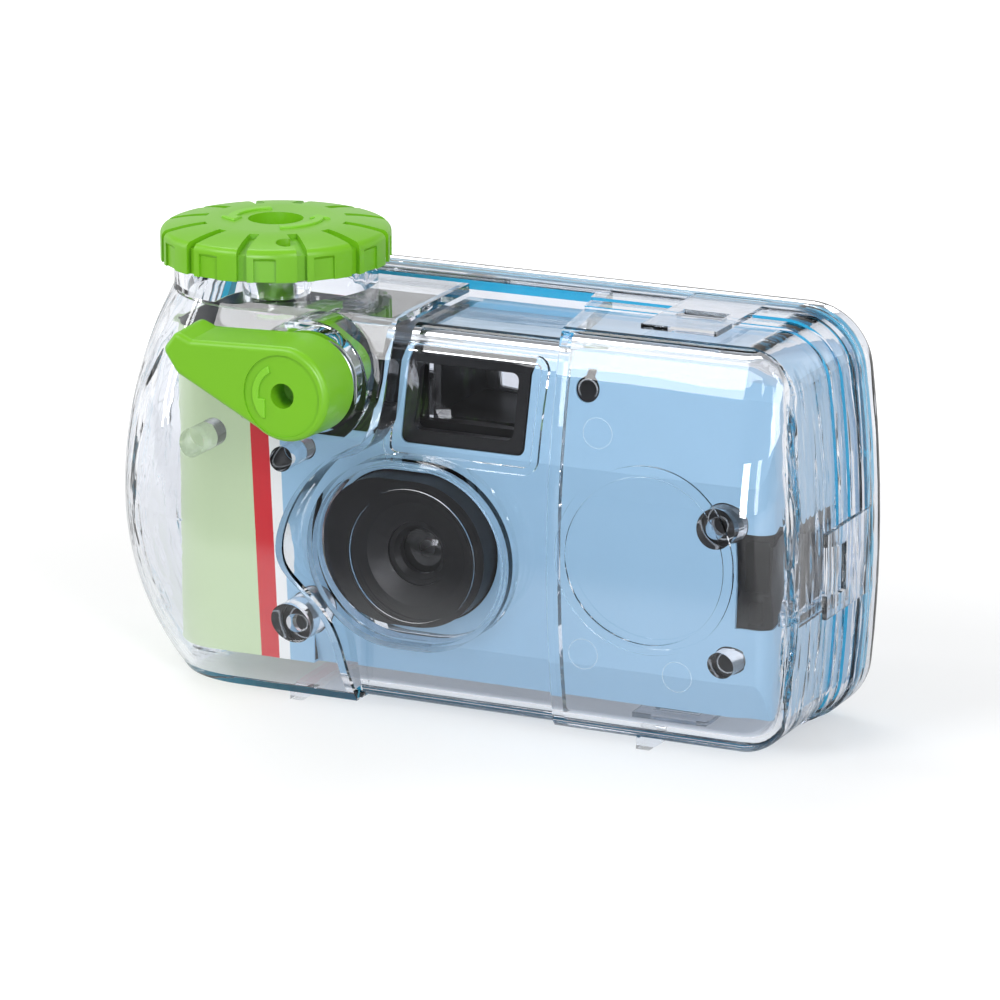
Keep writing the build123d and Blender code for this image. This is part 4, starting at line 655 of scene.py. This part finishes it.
class DressCase(bpy.types.Operator):
    """Clear finish of both case halves"""

    bl_idname = "splash_camera.dress_case"
    bl_label = "Clear Case"

    def execute(self, context):
        look = context.scene.splash_case

        def wave(tree):
            """Flow marks: faint on the flat parts, strong on bulge, right flank and neck"""
            _, (across, _, up) = object_place(tree)
            edge, fade = look.bulge_edge, look.bulge_fade
            bulge = ramp(tree, across, edge + fade, edge - fade)
            edge, fade = look.flank_edge, look.edge_fade
            flank = ramp(tree, across, edge - fade, edge + fade)
            neck = ramp(tree, up, look.neck_edge - fade, look.neck_edge + fade)
            sides = math_node(tree, "MAXIMUM", bulge, flank)
            sides = math_node(tree, "MAXIMUM", sides, neck)
            strong = math_node(tree, "MULTIPLY", sides, look.side_wave)
            return math_node(tree, "MAXIMUM", strong, look.wave)

        marks = {
            "Flow Scale": 25.0,
            "Spread": 0.006,
            "Grain Scale": 190.0,
            "Grain Height": 1.0 * MM,
            "Grain Stretch": (0.3, 1, 0.22),
        }
        clear = clear_material("clear_plastic", look.clear, look.index, 0.004, wave, **marks)
        dress(("front_case", "rear_case"), clear)
        return {"FINISHED"}


class DressSeals(bpy.types.Operator):
    """Rubber of the gasket and the shaft rings"""

    bl_idname = "splash_camera.dress_seals"
    bl_label = "Gasket and Rings"

    def execute(self, context):
        look = context.scene.splash_case
        dress(("seal_gasket",), finish("gasket_rubber", look.gasket, darker(look.gasket), 0.45))
        ring = finish("ring_rubber", look.ring, darker(look.ring), 0.4)
        dress(("wind_shaft_o_ring", "lever_o_ring"), ring)
        return {"FINISHED"}


class DressMoving(bpy.types.Operator):
    """Green plastic of the knob, the lever, the wind shaft and the press arm"""

    bl_idname = "splash_camera.dress_moving"
    bl_label = "Knob and Lever"

    def execute(self, context):
        look = context.scene.splash_moving
        green = finish("green_plastic", look.green, look.green_deep, look.rough, Grain=0.15)
        dress(("wind_knob", "wind_shaft", "shutter_lever", "lever_press_arm"), green)
        return {"FINISHED"}


class DressLabel(bpy.types.Operator):
    """Printed bands of the card sleeve"""

    bl_idname = "splash_camera.dress_label"
    bl_label = "Printed Card"

    def execute(self, context):
        look = context.scene.splash_print
        material, tree, output = new_material("printed_card")
        shader = tree.nodes.new("ShaderNodeBsdfPrincipled")
        shader.inputs["Coat Weight"].default_value = 0.25
        shader.inputs["Coat Roughness"].default_value = 0.15
        _, (across, _, up) = object_place(tree)
        above = math_node(tree, "SUBTRACT", up, look.mid_height)
        leaning = math_node(tree, "ADD", across, math_node(tree, "MULTIPLY", above, look.lean))
        bands = (
            (look.red_edge, look.red),
            (look.white_edge, look.white),
            (look.blue_edge, look.blue),
        )
        colour = look.green
        for edge, band in bands:
            past = math_node(tree, "GREATER_THAN", leaning, edge)
            colour = mix_colour(tree, past, colour, band)
        fibres = {"Flow Scale": 120.0, "Grain": 0.08}
        skin = moulded_skin(tree, (1, 1, 1), (0.97, 0.97, 0.97), 0.38, **fibres)
        printed = mix_colour(tree, 1.0, colour, skin.outputs["Colour"], "MULTIPLY")
        feed(tree, shader, skin, printed)
        link(tree, shader.outputs[0], output.inputs["Surface"])
        dress(("camera_label",), material)
        return {"FINISHED"}


class DressLenses(bpy.types.Operator):
    """Moulded lenses of the camera and its finder"""

    bl_idname = "splash_camera.dress_lenses"
    bl_label = "Lenses"

    def execute(self, context):
        look = context.scene.splash_inner
        even = {"Grain": 0.0, "Spread": 0.0}
        glass = clear_material("lens_plastic", look.lens, look.lens_index, 0.0, **even)
        dress(("taking_lens", "finder_front_lens", "finder_eyepiece"), glass)
        return {"FINISHED"}


class DressInner(bpy.types.Operator):
    """Black covers, frame, film, wheels and metal of the inner camera"""

    bl_idname = "splash_camera.dress_inner"
    bl_label = "Inner Camera"

    def execute(self, context):
        look = context.scene.splash_inner
        black, white, grey, steel = look.black, look.white, look.grey, look.steel
        dress(
            ("camera_front_cover", "camera_rear_cover", "camera_frame", "lens_retainer"),
            finish("black_plastic", black, darker(black, 1.3), 0.4, shine=0.16, Grain=0.25),
        )
        dress(
            (
                "wind_shaft_clip",
                "lever_shaft_clip",
                "lever_shaft",
                "lever_return_spring",
                "shutter_spring",
                "striker_spring",
                "shutter_blade",
                "blade_striker",
            ),
            finish("steel", steel, darker(steel), 0.28, metallic=1.0, Spread=0.15),
        )
        # The aperture plate is coloured near black, which makes the inside of the lens dark
        dark, darkest = darker(steel, 0.008), darker(steel, 0.005)
        dress(("aperture_plate",), finish("near_black_aperture", dark, darkest, 0.6, shine=0.05))
        dress(
            ("advance_wheel", "counter_disc", "sprocket_wheel", "wheel_pawl"),
            finish("white_plastic", white, darker(white, 0.95), 0.4),
        )
        dress(
            ("cassette_spool", "supply_spool", "shutter_button"),
            finish("grey_plastic", grey, darker(grey), 0.42),
        )
        paint = {"metallic": 0.8, "coat": 0.4}
        shell = finish("cassette_metal", look.cassette, darker(look.cassette), 0.32, **paint)
        dress(("cassette_shell",), shell)
        film = finish("film", look.film, darker(look.film), 0.2, coat=0.5)
        dress(("film_roll", "film_strip"), film)
        return {"FINISHED"}


# Pieces that the CAD nodes leave out


class RaiseArrows(bpy.types.Operator):
    """Raised arrows on the knob and on the lever that show which way they go"""

    bl_idname = "splash_camera.raise_arrows"
    bl_label = "Raised Arrows"

    def execute(self, context):
        look = context.scene.splash_moving
        green = bpy.data.materials["green_plastic"]
        rise = look.arrow_rise
        sunk = rise * SUNK
        bevel = rise * ARROW_SOFT

        low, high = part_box("wind_knob")
        middle = (low + high) / 2
        place = Matrix.Translation((middle.x, middle.y, high.z - sunk))
        for number, start in enumerate(KNOB_ARROW_STARTS, 1):
            outline = knob_arrow_outline(look.knob_arrow, KNOB_ARROW_HALF * MM, start)
            shape = raised_sign("knob_arrow_%d" % number, outline, rise, place, bevel)
            settle(shape.name, shape, "winder", "green_plastic", green)

        across, up = (value * MM for value in LEVER_HUB)
        face = front_of("shutter_lever", across - look.lever_arrow, up)
        place = Matrix.Translation((across, face.y + sunk, up)) @ TO_FRONT
        outline = lever_arrow_outline(look.lever_arrow, LEVER_ARROW_HALF * MM)
        shape = raised_sign("lever_arrow", outline, rise, place, bevel)
        settle(shape.name, shape, "lever", "green_plastic", green)
        return {"FINISHED"}


class RaisePlate(bpy.types.Operator):
    """Raised fields of the black cover in the opening of the card at the right"""

    bl_idname = "splash_camera.raise_plate"
    bl_label = "Cover Fields"

    def execute(self, context):
        look = context.scene.splash_inner
        dark, darkest = darker(look.black, 0.6), darker(look.black, 0.5)
        glossy = finish("moulded_black", dark, darkest, 0.16, shine=0.4, Grain=0.05)
        rise = look.field_rise
        for number, (left, right, low, high) in enumerate(COVER_FIELDS, 1):
            corners = (
                (left, low),
                (right - FIELD_CUT, low),
                (right, low + FIELD_CUT),
                (right, high),
                (left + FIELD_CUT, high),
                (left, high - FIELD_CUT),
            )
            outline = [(x * MM, y * MM) for x, y in corners]
            across, up = (left + right) / 2 * MM, (low + high) / 2 * MM
            face = front_of("camera_front_cover", across, up)
            place = Matrix.Translation((0, face.y + rise * SUNK, 0)) @ TO_FRONT
            bevel = rise * FIELD_SOFT
            shape = raised_sign("cover_field_%d" % number, outline, rise, place, bevel)
            settle(shape.name, shape, "case", "black_plastic", glossy)
        return {"FINISHED"}


class AddMarks(bpy.types.Operator):
    """Ejector marks, gate marks and rounded peg rims of the clear case"""

    bl_idname = "splash_camera.add_marks"
    bl_label = "Moulding Marks"

    def execute(self, context):
        look = context.scene.splash_case
        tree = mark_tree()
        upright = (math.radians(90), 0.0, 0.0)
        values = {"Sides": RING_SIDES, "Material": bpy.data.materials["clear_plastic"]}

        def add_rings(name, places, radius, rise, stretch, turn):
            """One piece of equal rings"""
            values.update({"Radius": radius, "Rise": rise, "Stretch": stretch, "Turn": turn})
            settle(name, grown_mesh(name, places, tree, values), "case", "clear_plastic")

        def before(node, spots, gap):
            """Places a little before a CAD node"""
            hits = [front_of(node, x * MM, z * MM) for x, z in spots]
            return [(hit.x, hit.y - gap, hit.z) for hit in hits]

        lift = look.mark_rise * RING_LIFT
        pins = before("front_case", EJECTOR_SPOTS, lift)
        add_rings("ejector_marks", pins, look.pin_radius, look.mark_rise, ROUND, upright)
        pegs = (
            ("peg_rims_26", WIDE_PEGS, look.wide_peg),
            ("peg_rims_16", NARROW_PEGS, look.narrow_peg),
        )
        for name, spots, radius in pegs:
            ends = before("camera_front_cover", spots, look.peg_ring)
            add_rings(name, ends, radius, look.peg_ring, ROUND, upright)
        gates = []
        for x, y in GATE_SPOTS:
            hit = first_hit("front_case", (x * MM, y * MM, OUTSIDE), (0, 0, -1))
            gates.append((hit.x, hit.y, hit.z + lift))
        half = look.gate_length / 2
        add_rings("gate_marks", gates, half, look.mark_rise, OVAL, (0.0, 0.0, 0.0))
        return {"FINISHED"}


class PrintDial(bpy.types.Operator):
    """Ticks and numbers of the frame counter"""

    bl_idname = "splash_camera.print_dial"
    bl_label = "Counter Dial"

    def execute(self, context):
        look = context.scene.splash_inner
        ink = finish("dial_ink", look.black, darker(look.black, 1.5), 0.5)
        low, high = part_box("counter_disc")
        middle = (low + high) / 2
        radius = (high.x - low.x) / 2
        top = Vector((middle.x, middle.y, high.z))
        values = {
            "Count": look.ticks,
            "Radius": radius * TICK_RING,
            "Size": (radius * TICK_LENGTH, radius * TICK_WIDTH, look.tick_rise),
            "Middle": top,
            "Material": ink,
        }
        shape = grown_mesh("counter_ticks", [(0, 0, 0)], tick_tree(), values)
        settle("counter_ticks", shape, "counter", "black_plastic")
        outwards = Matrix.Translation((0, radius * NUMBER_RING, 0))
        for step in range(0, look.ticks, NUMBER_STEP):
            number = look.ticks - step
            size = radius * NUMBER_SIZE
            shape = number_mesh("counter_number_%d" % number, str(number), size, look.number_rise)
            turn = Matrix.Rotation(math.tau * step / look.ticks, 4, "Z")
            shape.transform(Matrix.Translation(top) @ turn @ outwards)
            settle(shape.name, shape, "counter", "black_plastic", ink)
        return {"FINISHED"}


# Studio


def box_lamp(name, place, size, watts):
    """Area lamp aimed at the object"""
    data = bpy.data.lights.new(name, "AREA")
    data.shape = "RECTANGLE"
    data.size, data.size_y = size
    data.energy = watts
    lamp = bpy.data.objects.new(name, data)
    bpy.context.scene.collection.objects.link(lamp)
    lamp.location = place
    lamp.rotation_euler = (Vector(AIM) - Vector(place)).to_track_quat("-Z", "Y").to_euler()
    return lamp


def lay_floor(setup):
    """Floor that adds white for the camera and is dark before the object in reflections"""
    half = setup.floor_size / 2
    shape = bpy.data.meshes.new("floor")
    corners = [(-half, -half, 0), (half, -half, 0), (half, half, 0), (-half, half, 0)]
    shape.from_pydata(corners, [], [(0, 1, 2, 3)])
    floor = bpy.data.objects.new("floor", shape)
    bpy.context.scene.collection.objects.link(floor)

    material, tree, output = new_material("floor_white")
    path = tree.nodes.new("ShaderNodeLightPath").outputs
    place, (across, depth, _) = object_place(tree)
    length = tree.nodes.new("ShaderNodeVectorMath")
    length.operation = "LENGTH"
    link(tree, place, length.inputs[0])
    away = length.outputs["Value"]

    more_under = setup.under_white - setup.clear_white
    clear = ramp(tree, away, setup.under_start, setup.under_end, 0.0, more_under)
    clear = math_node(tree, "ADD", clear, setup.clear_white)
    clear = math_node(tree, "MULTIPLY", path["Is Transmission Ray"], clear)
    shown = math_node(tree, "MAXIMUM", path["Is Camera Ray"], clear)
    more_far = setup.glow_far - setup.glow_near
    white = ramp(tree, away, setup.glow_start, setup.glow_end, 0.0, more_far)
    white = math_node(tree, "ADD", white, setup.glow_near)

    front = ramp(tree, depth, setup.front_start, setup.front_end)
    side = ramp(tree, across, setup.front_side + setup.front_fade, setup.front_side)
    mirrored = math_node(tree, "GREATER_THAN", path["Glossy Depth"], 0.5)
    mirrored = math_node(tree, "MULTIPLY", mirrored, math_node(tree, "MULTIPLY", front, side))
    white = math_node(tree, "MULTIPLY", white, math_node(tree, "SUBTRACT", 1.0, mirrored))

    diffuse = tree.nodes.new("ShaderNodeBsdfDiffuse")
    paint = mix_colour(tree, mirrored, setup.floor, setup.floor_dark)
    link(tree, paint, diffuse.inputs["Color"])
    glow = tree.nodes.new("ShaderNodeEmission")
    glow.inputs["Color"].default_value = (1, 1, 1, 1)
    link(tree, math_node(tree, "MULTIPLY", shown, white), glow.inputs["Strength"])
    both = tree.nodes.new("ShaderNodeAddShader")
    link(tree, diffuse.outputs[0], both.inputs[0])
    link(tree, glow.outputs[0], both.inputs[1])
    link(tree, both.outputs[0], output.inputs["Surface"])
    shape.materials.append(material)


def light_world(setup):
    """White background, with less of it above and before the object in clear and shiny parts"""
    world = bpy.data.worlds.new("studio")
    bpy.context.scene.world = world
    world.use_nodes = True
    tree = world.node_tree
    tree.nodes.clear()
    output = tree.nodes.new("ShaderNodeOutputWorld")
    way = tree.nodes.new("ShaderNodeSeparateXYZ")
    link(tree, tree.nodes.new("ShaderNodeTexCoord").outputs["Generated"], way.inputs[0])
    wall = ramp(tree, way.outputs["Z"], *FADE_UP, 1.0, setup.ceiling)
    front = ramp(tree, way.outputs["Y"], *FADE_FRONT)
    path = tree.nodes.new("ShaderNodeLightPath").outputs
    mirrored = math_node(tree, "GREATER_THAN", path["Glossy Depth"], 0.5)
    lost = math_node(tree, "MULTIPLY", mirrored, front)
    lost = math_node(tree, "MULTIPLY", lost, setup.front_wall)
    shown = math_node(tree, "MAXIMUM", path["Is Glossy Ray"], path["Is Transmission Ray"])
    shown = math_node(tree, "MULTIPLY", shown, math_node(tree, "SUBTRACT", 1.0, lost))
    shown = math_node(tree, "MULTIPLY", shown, wall)
    shown = math_node(tree, "MAXIMUM", shown, path["Is Camera Ray"])
    even = math_node(tree, "MULTIPLY", path["Is Diffuse Ray"], setup.world)
    light = tree.nodes.new("ShaderNodeBackground")
    light.inputs["Color"].default_value = (1, 1, 1, 1)
    link(tree, math_node(tree, "MAXIMUM", shown, even), light.inputs["Strength"])
    link(tree, light.outputs[0], output.inputs["Surface"])


def hang_lamps(setup):
    """Soft lamps round the object"""
    glint = box_lamp("front_lamp", (0.12, -1.0, 0.16), (0.24, 0.24), setup.front)
    glint.visible_diffuse = False
    lamps = (
        box_lamp("key_lamp", (-0.55, -0.85, 0.85), (0.5, 0.5), setup.key),
        box_lamp("left_strip", (-0.85, -0.2, 0.4), (0.05, 0.8), setup.strip),
        box_lamp("side_lamp", (0.75, -0.55, 0.5), (0.25, 0.6), setup.side),
        box_lamp("top_lamp", (-0.35, 0.45, 0.9), (0.5, 0.3), setup.top),
    )


def place_camera(setup):
    """Camera that sees the object as the photograph does"""
    data = bpy.data.cameras.new("camera")
    data.lens = setup.lens
    data.sensor_width = 36
    camera = bpy.data.objects.new("camera", data)
    scene = bpy.context.scene
    scene.collection.objects.link(camera)
    camera.location = CAMERA_PLACE
    camera.rotation_euler = (math.radians(90 - CAMERA_DOWN), 0, math.radians(CAMERA_ROUND))
    scene.camera = camera


class BuildStudio(bpy.types.Operator):
    """Pale floor, soft lamps, even world light and the camera"""

    bl_idname = "splash_camera.build_studio"
    bl_label = "Studio"

    def execute(self, context):
        scene = context.scene
        setup = scene.splash_studio
        scene.view_settings.view_transform = "Standard"
        lay_floor(setup)
        light_world(setup)
        hang_lamps(setup)
        scene.cycles.max_bounces = 24
        scene.cycles.transmission_bounces = 24
        scene.cycles.glossy_bounces = 12
        scene.cycles.transparent_max_bounces = 32
        place_camera(setup)
        return {"FINISHED"}


class CameraPanel(bpy.types.Panel):
    """Sizes, colours and steps of the camera"""

    bl_idname = "VIEW3D_PT_splash_camera"
    bl_label = "Single-Use Camera"
    bl_space_type = "VIEW_3D"
    bl_region_type = "UI"
    bl_category = "Camera"

    def draw(self, context):
        layout = self.layout
        for kind in OPERATORS:
            layout.operator(kind.bl_idname)
        for attribute, kind in GROUPS.items():
            box = layout.box()
            box.label(text=kind.__doc__)
            for prop in kind.__annotations__:
                box.prop(getattr(context.scene, attribute), prop)


GROUPS = {
    "splash_case": CaseFinish,
    "splash_moving": MovingFinish,
    "splash_print": PrintFinish,
    "splash_inner": InnerFinish,
    "splash_studio": StudioSetup,
}
OPERATORS = (
    DressCase,
    DressSeals,
    DressMoving,
    DressLabel,
    DressLenses,
    DressInner,
    RaiseArrows,
    RaisePlate,
    AddMarks,
    PrintDial,
    BuildStudio,
)


def register():
    """Makes the groups, operators and panel known to Blender"""
    for kind in (*GROUPS.values(), *OPERATORS, CameraPanel):
        bpy.utils.register_class(kind)
    for attribute, kind in GROUPS.items():
        setattr(bpy.types.Scene, attribute, PointerProperty(type=kind))


def unregister():
    """Takes them back"""
    for attribute in GROUPS:
        delattr(bpy.types.Scene, attribute)
    for kind in (CameraPanel, *reversed(OPERATORS), *GROUPS.values()):
        bpy.utils.unregister_class(kind)


def main():
    """Runs each operator in order"""
    register()
    for kind in OPERATORS:
        area, step = kind.bl_idname.split(".")
        getattr(getattr(bpy.ops, area), step)()


if __name__ == "__main__":
    main()
